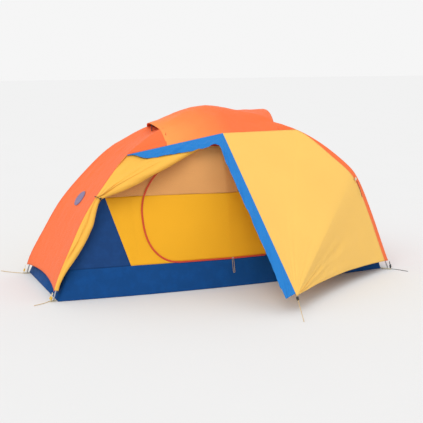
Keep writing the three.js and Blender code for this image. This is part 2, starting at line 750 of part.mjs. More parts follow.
for (const { name, end: endName, side, outward } of corners) {
  const end = poles[endName];
  const foot = legPoint(end, side, shareAtZ(end, tipHeight - 4)).setZ(0);
  const direction = new THREE.Vector3(outward[0], outward[1], 0).normalize();
  const tab = place(`corner_webbing_${name}`,
    webbingTab(endName === "foot" ? footTabInner : headTabInner), cream);
  tab.position.copy(foot).setZ(clearance);
  tab.rotation.z = Math.atan2(direction.y, direction.x);

  const hem = legPoint(fly[endName], side, hemShare(fly[endName]));
  const strapTop = hem.clone().addScaledVector(direction, 9).setZ(hemHeight - 6);
  const strapFoot = foot.clone().addScaledVector(direction, webbingTail - 3).setZ(webbingThickness + 4);
  const strapLength = strapTop.distanceTo(strapFoot);
  const corner = new THREE.Group();
  corner.position.copy(strapTop).lerp(strapFoot, 0.5);
  const yAxis = strapTop.clone().sub(strapFoot).normalize();
  const across = new THREE.Vector3(0, 0, 1).cross(direction).normalize();
  const zAxis = across.clone().cross(yAxis).normalize();
  corner.setRotationFromMatrix(new THREE.Matrix4().makeBasis(yAxis.clone().cross(zAxis), yAxis, zAxis));
  tent.add(corner);
  place(`fly_strap_${name}`, new THREE.BoxGeometry(strapWidth, strapLength, strapThickness), cream, corner);
  const window = new THREE.BoxGeometry(strapWidth + 2 * clearance, 2 * buckleLength, strapThickness + 2 * clearance);
  const frame = new THREE.BoxGeometry(
    strapWidth + 2 * (clearance + buckleWall), buckleLength, strapThickness + 2 * (clearance + buckleWall));
  const buckle = place(`corner_buckle_${name}`, cut(frame, window), yellowPlastic, corner);
  buckle.position.y = -strapLength * 0.18;

  const cordStart = foot.clone().addScaledVector(direction, webbingTail + 3 * clearance).setZ(cordRadius + clearance);
  if (stakeCordEnds[name]) {
    const [endX, endY] = stakeCordEnds[name];
    const cordEnd = new THREE.Vector3(endX, endY, cordRadius + clearance);
    const bend = cordStart.clone().lerp(cordEnd, 0.45).addScaledVector(across, 5);
    place(`stake_cord_${name}`, tube([cordStart, bend, cordEnd], cordRadius, 14), cordTan);
  }
}

// ---------- vents ----------
for (const endName of ["foot", "head"]) {
  const end = fly[endName];
  const share = shareAtX(end, end.ventReach + propInset);
  const base = topPoint(end, share, 0, 2.6 * panelSag);
  const lipDistance = (ventOverhang - propInset);
  const lip = topPoint(end, share, 0).z + ventRise(end, lipDistance, 1) - skin;
  const bottom = base.z + 2.5;
  const height = lip - propTopGap - bottom;
  const prop = place(`vent_prop_${endName}`, new THREE.BoxGeometry(propThickness, propWidth, height), plastic);
  prop.position.set(base.x, 0, bottom + height / 2);
}

// ---------- door hardware ----------
const { down: rollDown, outward: rollOutward } = rollFrame();
const loopMiddle = rollRadius * 0.8 + loopRadius + 4;
const tieLoop = place("door_tie_loop", new THREE.TorusGeometry(loopMiddle, loopRadius, 8, 24), cordDark);
tieLoop.position.copy(rollTie);
tieLoop.quaternion.setFromUnitVectors(new THREE.Vector3(0, 0, 1), rollDown);
const toggle = place("door_toggle", new THREE.CylinderGeometry(toggleRadius, toggleRadius, toggleLength, 12), plastic);
toggle.position.copy(rollTie).addScaledVector(rollOutward, loopMiddle + loopRadius + toggleRadius + 20 * clearance);
toggle.rotation.z = -0.5;

// A slider that rides behind the fly's zip, near the top of its run.
const zipDirection = zipEnd.clone().sub(zipStart).normalize();
const zipInward = new THREE.Vector3(0, 1, 0).addScaledVector(zipDirection, -zipDirection.y).normalize();
const flySlider = place("fly_zip_slider", new THREE.BoxGeometry(9, sliderLength, 4), alloy);
flySlider.position.copy(zipStart).lerp(zipEnd, 0.16).addScaledVector(zipInward, 16);
const zipSide = zipDirection.clone().cross(zipInward);
flySlider.setRotationFromMatrix(new THREE.Matrix4().makeBasis(zipSide, zipDirection, zipInward));

// The inner door's slider on the sill zip, with its pull cord down the bathtub wall.
const sillPoint = (x, z, off) => sideWallPoint(-1, x, z).add(new THREE.Vector3(0, -off, 0));
const innerSlider = place("inner_zip_slider", new THREE.BoxGeometry(sliderLength, 4, 8), alloy);
innerSlider.position.copy(sillPoint(0, wallBase, 4));
const pullTop = wallBase - 4 - clearance - pullCordRadius;
const pullBend = pullTop - pullLength + pullLoopRadius;
const pullSide = (sign) => steps(4, pullTop, pullBend + 8).map((z) => sillPoint(sign * pullLoopRadius, z, 5));
const pullPoints = [
  ...pullSide(-1),
  ...steps(8, 0, Math.PI).map((turn) =>
    sillPoint(-pullLoopRadius * Math.cos(turn), pullBend - pullLoopRadius * Math.sin(turn), 5)),
  ...pullSide(1).reverse(),
];
place("inner_zip_pull", tube(pullPoints, pullCordRadius, 36), cordTan);

// ---------- vestibule stake-out and guy-out ----------
const cordAxis = vestibuleCordEnd.clone().sub(vestibuleTip).normalize();
place("vestibule_cord", tube([vestibuleTip.clone().addScaledVector(cordAxis, 4), vestibuleCordEnd], 2, 16), cordTan);
const lockHole = new THREE.CylinderGeometry(2 + clearance, 2 + clearance, 2 * cordLockLength, 12);
const lock = place("vestibule_cord_lock",
  cut(new THREE.CylinderGeometry(cordLockRadius, cordLockRadius, cordLockLength, 14), lockHole), plastic);
lock.position.copy(vestibuleTip).addScaledVector(cordAxis, 18);
lock.quaternion.setFromUnitVectors(new THREE.Vector3(0, 1, 0), cordAxis);

const guyAway = new THREE.Vector3(0.3, -0.9, 0.3).normalize();
const guyLift = 9;
function guyTab(name, end, side) {
  const seam = topPoint(end, shareAtZ(end, guyHeight), side);
  const along = vestibuleTip.clone().sub(seam).normalize();
  const out = guyAway.clone().addScaledVector(along, -guyAway.dot(along)).normalize();
  const tab = place(name, new THREE.BoxGeometry(guyTabLength, 2, 14), yellow);
  tab.position.copy(seam).lerp(vestibuleTip, guyInset).addScaledVector(out, guyLift);
  tab.setRotationFromMatrix(new THREE.Matrix4().makeBasis(along, out, along.clone().cross(out)));
  return tab;
}
guyTab("guy_tab_front_head", fly.head, -1);

const guyCordPoints = [604, 572, 540, 508].map((z, index) => topPoint(fly.head, shareAtZ(fly.head, z), -1)
  .lerp(vestibuleTip, guyInset + 0.007 * index).addScaledVector(guyAway, guyLift));
place("guy_cord_front_head", tube(guyCordPoints, 1.5, 16), cordDark);

export default tent;
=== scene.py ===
"""One-person tent: the soft and hard pieces that show, built around the CAD frame."""

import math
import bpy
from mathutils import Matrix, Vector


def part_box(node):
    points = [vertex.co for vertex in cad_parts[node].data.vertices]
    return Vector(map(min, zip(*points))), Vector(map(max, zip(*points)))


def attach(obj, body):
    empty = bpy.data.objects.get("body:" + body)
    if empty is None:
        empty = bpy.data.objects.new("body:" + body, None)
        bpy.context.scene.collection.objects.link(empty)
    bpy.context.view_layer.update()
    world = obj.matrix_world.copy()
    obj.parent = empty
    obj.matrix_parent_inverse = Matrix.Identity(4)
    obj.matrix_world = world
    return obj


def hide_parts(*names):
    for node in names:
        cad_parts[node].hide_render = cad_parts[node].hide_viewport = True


bl_info = {
    "name": "One-person tent",
    "version": (1, 0, 0),
    "blender": (4, 5, 0),
    "location": "View3D > Sidebar > Tent",
    "description": "Builds a one-person tent with crossing poles, a fly and a mesh inner tent",
    "category": "Add Mesh",
}

import bmesh
import bpy
import numpy as np
from mathutils import Vector

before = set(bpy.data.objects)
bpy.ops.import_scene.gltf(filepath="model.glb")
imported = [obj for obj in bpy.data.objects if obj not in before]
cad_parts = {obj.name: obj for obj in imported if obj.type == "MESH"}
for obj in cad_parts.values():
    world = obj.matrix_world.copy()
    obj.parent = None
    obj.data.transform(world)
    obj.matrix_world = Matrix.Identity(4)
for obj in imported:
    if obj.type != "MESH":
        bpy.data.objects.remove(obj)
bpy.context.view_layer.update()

TAU = 2 * math.pi


# ---------------------------------------------------------------- settings
def settings(name, summary, kind, rows, **options):
    """A group of settings, with a label, a description and a default in each row."""
    fields = {
        key: kind(name=label, description=about, default=default, **options)
        for key, (label, about, default) in rows.items()}
    return type(name, (bpy.types.PropertyGroup,), {"__doc__": summary, "__annotations__": fields})


TentShape = settings("TentShape", "Sizes that follow the frame's poles and floor.", bpy.props.FloatProperty, {
    "peak": ("Peak height", "Height of the fly over the crossing", 1.066),
    "floor_length": ("Floor length", "Length of the bathtub floor", 2.134),
    "foot_width": ("Foot width", "Width of the floor at the foot end", 0.740),
    "head_width": ("Head width", "Width of the floor at the head end", 0.970),
    "bow": ("Floor bow", "How far the long floor edges bow out", 0.057),
    "tub_height": ("Bathtub height", "Height of the waterproof floor wall", 0.165),
    "wall_height": ("Solid wall height", "Height where netting takes over", 0.556),
    "hem_height": ("Hem height", "Height of the fly's hem at the legs", 0.058),
    "flap_width": ("Storm flap width", "Width of the flap over the zip", 0.062),
    "cloth_thickness": ("Cloth thickness", "Thickness of each sheet of cloth", 0.0009),
}, unit="LENGTH")

TentColours = settings("TentColours", "Colours of the cloths and parts.", bpy.props.FloatVectorProperty, {
    "orange": ("Orange", "End panels and roof", (0.90, 0.165, 0.046)),
    "yellow": ("Yellow", "Side panels", (0.91, 0.55, 0.125)),
    # Painted light: the rolled door is the same yellow nylon as the side panels; this deeper, oranger copy
    # paints the light that comes through its cloth.
    "door_yellow": ("Door yellow", "Rolled fly door", (0.92, 0.49, 0.075)),
    "blue": ("Blue", "Storm flap", (0.014, 0.20, 0.58)),
    "navy": ("Navy", "Bathtub floor", (0.003, 0.060, 0.225)),
    "dark_navy": ("Dark navy", "Corner panel", (0.009, 0.052, 0.185)),
    "amber": ("Amber", "Solid inner walls", (0.88, 0.425, 0.016)),
    "netting": ("Netting", "Mesh inner walls", (0.86, 0.42, 0.15)),
    "zip_tape": ("Zip tape", "Tape and teeth of the inner door's zip", (0.72, 0.07, 0.02)),
    "webbing": ("Webbing", "Corner tabs and straps", (0.67, 0.6, 0.42)),
    "buckle": ("Buckle", "Corner buckles at the foot end", (0.75, 0.45, 0.04)),
    "tan_cord": ("Tan cord", "Foot stake cords, vestibule cord and zip pull", (0.74, 0.50, 0.19)),
    "dark_cord": ("Dark cord", "Guy cord and head stake cord", (0.02, 0.024, 0.035)),
}, subtype="COLOR", size=3)


def shape():
    return bpy.context.scene.tent_shape


def colours():
    return bpy.context.scene.tent_colours


# ---------------------------------------------------------------- shader maths
class Wire:
    """A shader socket that can be added, scaled and compared like a number."""

    def __init__(self, finish, socket):
        self.finish = finish
        self.socket = socket

    def _math(self, operation, *others):
        return self.finish.node("ShaderNodeMath", {"operation": operation}, *others)

    def __add__(self, other):
        return self._math("ADD", self, other)

    __radd__ = __add__

    def __mul__(self, other):
        return self._math("MULTIPLY", self, other)

    __rmul__ = __mul__

    def __sub__(self, other):
        return self._math("SUBTRACT", self, other)

    def __rsub__(self, other):
        return self._math("SUBTRACT", other, self)

    def wave(self):
        return self._math("SINE", self)

    def size(self):
        return self._math("ABSOLUTE", self)

    def above(self, limit):
        return self._math("GREATER_THAN", self, limit)

    def clamped(self):
        return self.finish.node("ShaderNodeClamp", {}, self, 0.0, 1.0)


class Finish:
    """Builds one material: nodes are made by `node`, and `dress` joins them to the surface."""

    def __init__(self, name):
        self.material = bpy.data.materials.new(name)
        self.material.use_nodes = True
        self.tree = self.material.node_tree
        self.shader = self.tree.nodes["Principled BSDF"]

    def node(self, kind, settings, *inputs, output=0, **named):
        made = self.tree.nodes.new(kind)
        for key, value in settings.items():
            setattr(made, key, value)
        for index, value in enumerate(inputs):
            self._join(made.inputs[index], value)
        for key, value in named.items():
            self._join(made.inputs[key], value)
        return Wire(self, made.outputs[output])

    def _join(self, socket, value):
        if value is None:
            return
        if isinstance(value, Wire):
            self.tree.links.new(value.socket, socket)
        else:
            socket.default_value = value

    def place(self):
        return self.node("ShaderNodeTexCoord", {}, output=3)

    def cloth_place(self):
        return self.node("ShaderNodeUVMap", {"uv_map": "Cloth"})

    def parts(self, vector):
        split = self.tree.nodes.new("ShaderNodeSeparateXYZ")
        self.tree.links.new(vector.socket, split.inputs[0])
        return [Wire(self, output) for output in split.outputs]

    def noise(self, vector, scale, detail=3.0, roughness=0.55):
        return self.node(
            "ShaderNodeTexNoise", {}, Vector=vector, Scale=scale, Detail=detail, Roughness=roughness)

    def blend(self, share, first, second):
        made = self.tree.nodes.new("ShaderNodeMix")
        made.data_type = "RGBA"
        self._join(made.inputs[0], share)
        self._join(made.inputs[6], (*first, 1.0) if isinstance(first, tuple) else first)
        self._join(made.inputs[7], (*second, 1.0) if isinstance(second, tuple) else second)
        return Wire(self, made.outputs[2])

    def dress(self, colour=None, roughness=None, height=None, depth=0.0002, alpha=None, **fixed):
        inputs = self.shader.inputs
        if colour is not None:
            self._join(inputs["Base Color"], (*colour, 1.0) if isinstance(colour, tuple) else colour)
        self._join(inputs["Roughness"], roughness)
        self._join(inputs["Alpha"], alpha)
        if height is not None:
            bump = self.tree.nodes.new("ShaderNodeBump")
            bump.inputs["Distance"].default_value = depth
            bump.inputs["Strength"].default_value = 0.8
            self._join(bump.inputs["Height"], height)
            self.tree.links.new(bump.outputs[0], inputs["Normal"])
        for name, value in fixed.items():
            inputs[name.replace("_", " ")].default_value = value
        return self.material


def tint(colour, factor):
    return tuple(min(1.0, channel * factor) for channel in colour)


def grid_lines(across, along, pitch, width):
    """A mask of thin lines in both directions of the cloth."""
    lines = []
    for place in (across, along):
        share = (place * (1.0 / pitch))._math("FRACT", place * (1.0 / pitch))
        lines.append(1.0 - ((share - 0.5).size() - (0.5 - width)).above(0.0))
    return 1.0 - lines[0] * lines[1]


def ripstop(name, colour, pitch=0.005, roughness=0.6, sheen=0.04):
    """Thin coated nylon with a grid of thicker threads."""
    finish = Finish(name)
    across, along, _ = finish.parts(finish.cloth_place())
    grid = grid_lines(across, along, pitch, 0.07)
    fade = finish.noise(finish.place(), 3.2, 2.0)
    crease = finish.noise(finish.place(), 24.0, 5.0, 0.6)
    weave = (across * (TAU / 0.0007)).wave() * (along * (TAU / 0.0007)).wave()
    worn = finish.blend((fade - 0.35).clamped() * 0.6, colour, tint(colour, 0.86))
    threads = finish.blend(grid * 0.28, worn, tint(colour, 1.12))
    height = grid * 0.5 + weave * 0.15 + crease * 0.8
    return finish.dress(
        threads, roughness + (crease - 0.5) * 0.16 - grid * 0.04, height, 0.0006,
        Sheen_Weight=sheen, Sheen_Roughness=0.4, Specular_IOR_Level=0.16)


def roof_ripstop(name, colour):
    """The roof's nylon, which glows more yellow where light comes through by the door."""
    finish = Finish(name)
    across, along, _ = finish.parts(finish.cloth_place())
    x, y, _ = finish.parts(finish.place())
    grid = grid_lines(across, along, 0.005, 0.07)
    crease = finish.noise(finish.place(), 24.0, 5.0, 0.6)
    patchy = finish.noise(finish.place(), 4.0, 2.0)
    # Painted light: a patchy mask near the door blends the orange towards a yellower orange, standing in for
    # light shining through the cloth.
    painted_light_mask = (1.0 - (x + 0.34).size() * 2.4).clamped() * ((y * -3.0) + 0.45).clamped()
    painted_glow = (painted_light_mask * (patchy + 0.35)).clamped()
    surface_colour = finish.blend(painted_glow, colour, (0.96, 0.36, 0.085))
    threads = finish.blend(grid * 0.28, surface_colour, tint(colour, 1.12))
    return finish.dress(
        threads, 0.6 + (crease - 0.5) * 0.16, grid * 0.5 + crease * 0.8, 0.0006,
        Sheen_Weight=0.04, Sheen_Roughness=0.4, Specular_IOR_Level=0.16)


def coated_nylon(name, colour):
    """Heavier nylon with a glossy inside coating, for the floor."""
    finish = Finish(name)
    across, along, _ = finish.parts(finish.cloth_place())
    crease = finish.noise(finish.place(), 18.0, 5.0, 0.62)
    scuff = finish.noise(finish.place(), 60.0, 4.0, 0.7)
    weave = (across * (TAU / 0.0009)).wave() * (along * (TAU / 0.0009)).wave()
    worn = finish.blend((crease - 0.45).clamped() * 1.4, colour, tint(colour, 1.5))
    return finish.dress(
        worn, 0.55 + scuff * 0.2, crease + weave * 0.2 + scuff * 0.1, 0.0012,
        Specular_IOR_Level=0.14)


def netting(name, colour):
    """Fine insect netting: see-through between its threads."""
    finish = Finish(name)
    across, along, _ = finish.parts(finish.cloth_place())
    threads = grid_lines(across + along, across - along, 0.0022, 0.2)
    haze = finish.noise(finish.place(), 5.0, 2.0)
    surface_colour = finish.blend((haze - 0.35).clamped() * 0.8, colour, tint(colour, 0.84))
    return finish.dress(
        surface_colour, 0.8 + haze * 0.1, threads, 0.0004, 0.8 + threads * 0.2,
        Specular_IOR_Level=0.05)


def webbing_finish(name, colour, rib=0.0018):
    """Woven tape with ribs across it."""
    finish = Finish(name)
    x, y, z = finish.parts(finish.place())
    ribs = ((x + y + z) * (TAU / rib)).wave()
    counter = ((x - y + z) * (TAU / rib)).wave()
    grime = finish.noise(finish.place(), 45.0, 4.0)
    weave = ribs * counter
    surface_colour = finish.blend((grime - 0.4).clamped(), colour, tint(colour, 0.7))
    return finish.dress(surface_colour, 0.82 + weave * 0.05, weave * 0.5 + grime * 0.4, 0.0005, Sheen_Weight=0.2)


def moulded(name, colour, roughness=0.45):
    """Injection-moulded plastic with a fine spark texture."""
    finish = Finish(name)
    grain = finish.noise(finish.place(), 900.0, 2.0)
    wear = finish.noise(finish.place(), 40.0, 4.0)
    body = finish.blend((wear - 0.5).clamped(), colour, tint(colour, 1.25))
    return finish.dress(
        body, roughness + wear * 0.12, grain * 0.6 + wear * 0.4, 0.00015, Specular_IOR_Level=0.45)


def anodised(name, colour):
    """Drawn aluminium tube with fine length-wise scratches."""
    finish = Finish(name)
    scratch = finish.noise(finish.place(), 260.0, 3.0)
    smear = finish.noise(finish.place(), 12.0, 3.0)
    metal = finish.blend(smear, colour, tint(colour, 0.8))
    return finish.dress(metal, 0.24 + scratch * 0.18, scratch, 0.00005, Metallic=1.0)


def braided(name, colour):
    """Braided cord: two sets of strands that cross, with a lighter tracer."""
    finish = Finish(name)
    around, along, _ = finish.parts(finish.cloth_place())
    left = (around * 4 * TAU + along * (TAU / 0.004)).wave()
    right = (around * 4 * TAU - along * (TAU / 0.004)).wave()
    strands = finish.node("ShaderNodeMath", {"operation": "MAXIMUM"}, left, right)
    tracer = (left - 0.8).clamped() * 2.0
    surface_colour = finish.blend(tracer, tint(colour, 0.85), tint(colour, 1.5))
    return finish.dress(surface_colour, 0.75 + strands * 0.05, strands, 0.0004, Sheen_Weight=0.15)


def plain_floor():
    finish = Finish("studio_floor")
    cloud = finish.noise(finish.place(), 1.5, 2.0)
    grey = finish.blend(cloud, (0.745, 0.745, 0.745), (0.755, 0.755, 0.755))
    return finish.dress(grey, 0.95, Specular_IOR_Level=0.0)


# Each row: how it is made, the material's name, its colour, how much lighter or darker, and what else it needs.
FINISHES = {
    "orange": (ripstop, "orange_ripstop", "orange", 1),
    "roof": (roof_ripstop, "roof_ripstop", "orange", 1),
    # Painted light: the door's deeper yellow stands in for light coming through the rolled cloth.
    "door": (ripstop, "door_ripstop", "door_yellow", 1),
    "yellow": (ripstop, "yellow_ripstop", "yellow", 1),
    "blue": (ripstop, "blue_nylon", "blue", 1, 0.004, 0.5, 0.1),
    "navy": (coated_nylon, "navy_coated_nylon", "navy", 1),
    "dark_navy": (coated_nylon, "dark_navy_coated_nylon", "dark_navy", 1),
    "amber": (ripstop, "amber_nylon", "amber", 1, 0.006, 0.6),
    "netting": (netting, "tan_netting", "netting", 1),
    "zip_tape": (webbing_finish, "zip_tape", "zip_tape", 1, 0.0012),
    "zip_teeth": (moulded, "zip_teeth", "zip_tape", 1.3, 0.35),
    "webbing": (webbing_finish, "cream_webbing", "webbing", 1),
    "dark_webbing": (webbing_finish, "dark_webbing", "dark_cord", 1),
    "buckle": (moulded, "yellow_acetal", "buckle", 1, 0.38),
    "black": (moulded, "black_acetal", (0.018, 0.019, 0.022), 1, 0.5),
    "alloy": (anodised, "anodised_pole", (0.62, 0.63, 0.66), 1),
    "tan_cord": (braided, "tan_cord", "tan_cord", 1),
    "dark_cord": (braided, "dark_cord", "dark_cord", 1),
    "orange_thread": (webbing_finish, "orange_thread", "orange", 1.15, 0.0008),
    "yellow_thread": (webbing_finish, "yellow_thread", "yellow", 0.8, 0.0008),
    "patch": (ripstop, "plain_patch", (0.22, 0.17, 0.30), 1, 0.003, 0.4),
}
_made = {}


def finish_for(name):
    if name not in _made:
        make, label, colour, factor, *rest = FINISHES[name]
        if isinstance(colour, str):
            colour = getattr(colours(), colour)
        _made[name] = make(label, tint(colour, factor), *rest)
    return _made[name]


# ---------------------------------------------------------------- the shape that the poles set
FOOT_OUTLINE = [
    (1, 0), (0.968, 0.105), (0.89, 0.262), (0.79, 0.443), (0.655, 0.614),
    (0.522, 0.75), (0.389, 0.838), (0.274, 0.893), (0, 1)]
HEAD_OUTLINE = [
    (1, 0), (0.957, 0.132), (0.888, 0.35), (0.82, 0.539), (0.786, 0.605), (0.755, 0.645),
    (0.627, 0.765), (0.502, 0.849), (0.3725, 0.9015), (0.1885, 0.952), (0, 1)]
BROW_SPREAD = 0.300
BROW_HEIGHT = 0.916
EAVE_ROUNDNESS = 1.35
PANEL_SAG = 0.020
SPANS = 48


def centripetal(points, per_span=SPANS):
    """A centripetal Catmull-Rom line through the points, sampled densely."""
    points = np.array(points, float)
    padded = np.vstack([2 * points[0] - points[1], points, 2 * points[-1] - points[-2]])
    s = np.linspace(0, 1, per_span, endpoint=False)[:, None]
    pieces = []
    for i in range(1, len(padded) - 2):
        p0, p1, p2, p3 = padded[i - 1:i + 3]
        d0, d1, d2 = (max(np.linalg.norm(b - a) ** 0.5, 1e-6) for a, b in ((p0, p1), (p1, p2), (p2, p3)))
        t1 = ((p1 - p0) / d0 - (p2 - p0) / (d0 + d1) + (p2 - p1) / d1) * d1
        t2 = ((p2 - p1) / d1 - (p3 - p1) / (d1 + d2) + (p3 - p2) / d2) * d1
        pieces.append(
            (2 * s ** 3 - 3 * s ** 2 + 1) * p1 + (s ** 3 - 2 * s ** 2 + s) * t1
            + (-2 * s ** 3 + 3 * s ** 2) * p2 + (s ** 3 - s ** 2) * t2)
    return np.vstack(pieces + [points[-1:]])


class Leg:
    """One end's outline, from the pole foot (0) to the crossing (1), in a layer of the tent."""

    def __init__(self, sign, line, reach, spread, eave, vent, lift, side_inset=0.0, depth=0.0):
        self.sign, self.line, self.reach, self.spread = sign, line, reach, spread
        self.eave, self.vent, self.lift = eave, vent, lift
        self.side_inset, self.depth = side_inset, depth
        steps = np.linalg.norm(np.diff(line, axis=0), axis=1)
        self.shares = np.concatenate([[0], np.cumsum(steps)])
        self.length = self.shares[-1]
        self.shares /= self.length

    def at(self, u):
        return np.stack([np.interp(u, self.shares, self.line[:, k]) for k in (0, 1)], -1)

    def normal(self, u):
        step = 0.004
        along = self.at(np.clip(u + step, 0, 1)) - self.at(np.clip(u - step, 0, 1))
        along = unit(along)
        out = np.stack([along[..., 1], -along[..., 0]], -1)
        crown = np.clip((np.asarray(u) - 0.97) / 0.03, 0, 1)[..., None]
        out = out * (1 - crown) + np.array([0.0, 1.0]) * crown
        return out / np.linalg.norm(out, axis=-1, keepdims=True)

    def share_at_x(self, x):
        return np.interp(x, self.line[::-1, 0], self.shares[::-1])

    def share_at_z(self, z):
        return np.interp(z, self.line[:, 1], self.shares)

    def height_at_x(self, x):
        return self.at(self.share_at_x(x))[..., 1]

    def leg_y(self, x):
        return np.maximum(self.spread * x / self.reach - self.side_inset * np.minimum(1, x / 0.2), 0)

    def edge(self, x, z):
        """The front and back edge of the roof (half width and height) at a distance from the crossing."""
        share = np.minimum(x / self.eave, 1)
        brow_y, brow_z = BROW_SPREAD - self.side_inset, BROW_HEIGHT - self.depth
        leg_y, leg_z = self.leg_y(self.eave), self.height_at_x(self.eave)
        past = x >= self.eave
        y = np.where(past, self.leg_y(x), brow_y + (leg_y - brow_y) * share)
        return y, np.where(past, z, brow_z + (leg_z - brow_z) * share)

    def inner(self, depth, side_inset):
        u = np.linspace(0, 1, 160)
        line = self.at(u) - depth * self.normal(u)
        line[-1, 0] = 0
        return Leg(self.sign, line, self.reach, self.spread, self.eave, self.vent, self.lift, side_inset, depth)


def make_legs():
    size = shape()
    half = size.floor_length / 2
    ends = {}
    rows = [
        ("foot", -1, FOOT_OUTLINE, half + 0.034, size.foot_width / 2 - 0.008, 0.575, 0.339, 0.050),
        ("head", 1, HEAD_OUTLINE, half + 0.047, size.head_width / 2 + 0.047, 0.540, 0.407, 0.088),
    ]
    for name, sign, outline, reach, spread, eave, vent, lift in rows:
        line = centripetal([(x * reach, z * size.peak) for x, z in outline])
        ends[name] = Leg(sign, line, reach, spread, eave, vent, lift)
    return ends


def top_point(leg, u, v, sag=PANEL_SAG):
    """Points of a layer's top: u from the pole feet to the crossing, v from front (-1) to back (+1)."""
    u, v = np.broadcast_arrays(np.asarray(u, float), np.asarray(v, float))
    at, normal = leg.at(u), leg.normal(u)
    x, z = at[..., 0], at[..., 1]
    edge_y, edge_z = leg.edge(x, z)
    leg_y = leg.leg_y(x)
    y = v * edge_y
    safe = np.maximum(leg_y, 1e-6)
    between = np.abs(y) <= leg_y
    dip = np.where(between, sag * (leg_y / leg.spread) * (1 - np.minimum(np.abs(y) / safe, 1) ** 2), 0)
    share = np.clip((np.abs(y) - leg_y) / np.maximum(edge_y - leg_y, 1e-6), 0, 1)
    drop = np.where(between, 0, (z - edge_z) * share ** EAVE_ROUNDNESS)
    return np.stack([leg.sign * (x - dip * normal[..., 0]), y, z - dip * normal[..., 1] - drop], -1)


def floor_edge(x):
    size = shape()
    half = size.floor_length / 2
    width = (size.foot_width + (size.head_width - size.foot_width) * (x + half) / size.floor_length) / 2
    return width + size.bow * (1 - (x / half) ** 2)


class Tent:
    """The legs of the fly and of the inner tent, made once the settings exist."""

    fly = None
    inner = None

    @classmethod
    def prepare(cls):
        cls.fly = make_legs()
        cls.inner = {name: leg.inner(0.046, 0.016) for name, leg in cls.fly.items()}
        cls.roof_table()

    @classmethod
    def roof_table(cls):
        xs = np.linspace(-0.9 * cls.inner["foot"].reach, 0.9 * cls.inner["head"].reach, 400)
        edges = [cls._edge(x) for x in xs]
        cls.table_x = xs
        cls.table_y = np.array([e[0] for e in edges])
        cls.table_z = np.array([e[1] for e in edges])
        cls.table_lean = (floor_edge(xs) - cls.table_y) / cls.table_z

    @classmethod
    def _edge(cls, x):
        leg = cls.inner["foot"] if x < 0 else cls.inner["head"]
        distance = abs(x)
        y, z = leg.edge(np.float64(distance), leg.height_at_x(distance))
        return float(y), float(z)

    @classmethod
    def lean(cls, x):
        return np.interp(x, cls.table_x, cls.table_lean)

    @classmethod
    def wall(cls, side, x, z, off=0.0):
        """Points of an inner side wall, `off` metres outside it."""
        x, z = np.broadcast_arrays(np.asarray(x, float), np.asarray(z, float))
        return np.stack([x, side * (floor_edge(x) - cls.lean(x) * z + off), z], -1)

    @classmethod
    def wall_end(cls, name, z):
        leg = cls.inner[name]
        return leg.sign * leg.at(leg.share_at_z(z))[..., 0]

    @classmethod
    def roof_edge_x(cls, sign, z):
        """Where the inner roof's edge comes down to a height, towards the foot (-1) or head (+1)."""
        side = cls.table_x * sign > 0
        xs, zs = cls.table_x[side], cls.table_z[side]
        order = np.argsort(zs)
        return np.interp(z, zs[order], xs[order])


# ---------------------------------------------------------------- cloth building
def lattice(seed, count=64):
    return np.random.default_rng(seed).uniform(-1, 1, (count, count))


def smooth_noise(a, b, seed):
    """Smooth repeating noise of two coordinates, from -1 to 1."""
    grid = lattice(seed)
    count = len(grid)
    ia, ib = np.floor(a).astype(int), np.floor(b).astype(int)
    fa, fb = a - ia, b - ib
    fa, fb = fa * fa * (3 - 2 * fa), fb * fb * (3 - 2 * fb)

    def corner(i, j):
        return grid[(ia + i) % count, (ib + j) % count]

    low = corner(0, 0) * (1 - fa) + corner(1, 0) * fa
    high = corner(0, 1) * (1 - fa) + corner(1, 1) * fa
    return low * (1 - fb) + high * fb


def grid_normals(points):
    along = np.gradient(points, axis=0)
    across = np.gradient(points, axis=1)
    normal = np.cross(along, across)
    return normal / np.maximum(np.linalg.norm(normal, axis=-1, keepdims=True), 1e-9)


def outward(points, inside=(0, 0, 0.35)):
    normal = grid_normals(points)
    middle = tuple(n // 2 for n in points.shape[:2])
    sign = np.sign(np.dot(points[middle] - np.array(inside), normal[middle])) or 1.0
    return normal * sign, sign


def run_lengths(points, axis):
    steps = np.linalg.norm(np.diff(points, axis=axis), axis=-1)
    zero = np.zeros_like(np.take(steps, [0], axis=axis))
    return np.concatenate([zero, np.cumsum(steps, axis=axis)], axis=axis)


def resample(line, count):
    """The line again with evenly spaced points."""
    lengths = run_lengths(line[:, None], 0)[:, 0]
    even = np.linspace(0, lengths[-1], count)
    return np.stack([np.interp(even, lengths, line[:, k]) for k in range(3)], -1)


def unit(vectors):
    return vectors / np.linalg.norm(vectors, axis=-1, keepdims=True)


def link(mesh_object):
    bpy.context.scene.collection.objects.link(mesh_object)
    return mesh_object


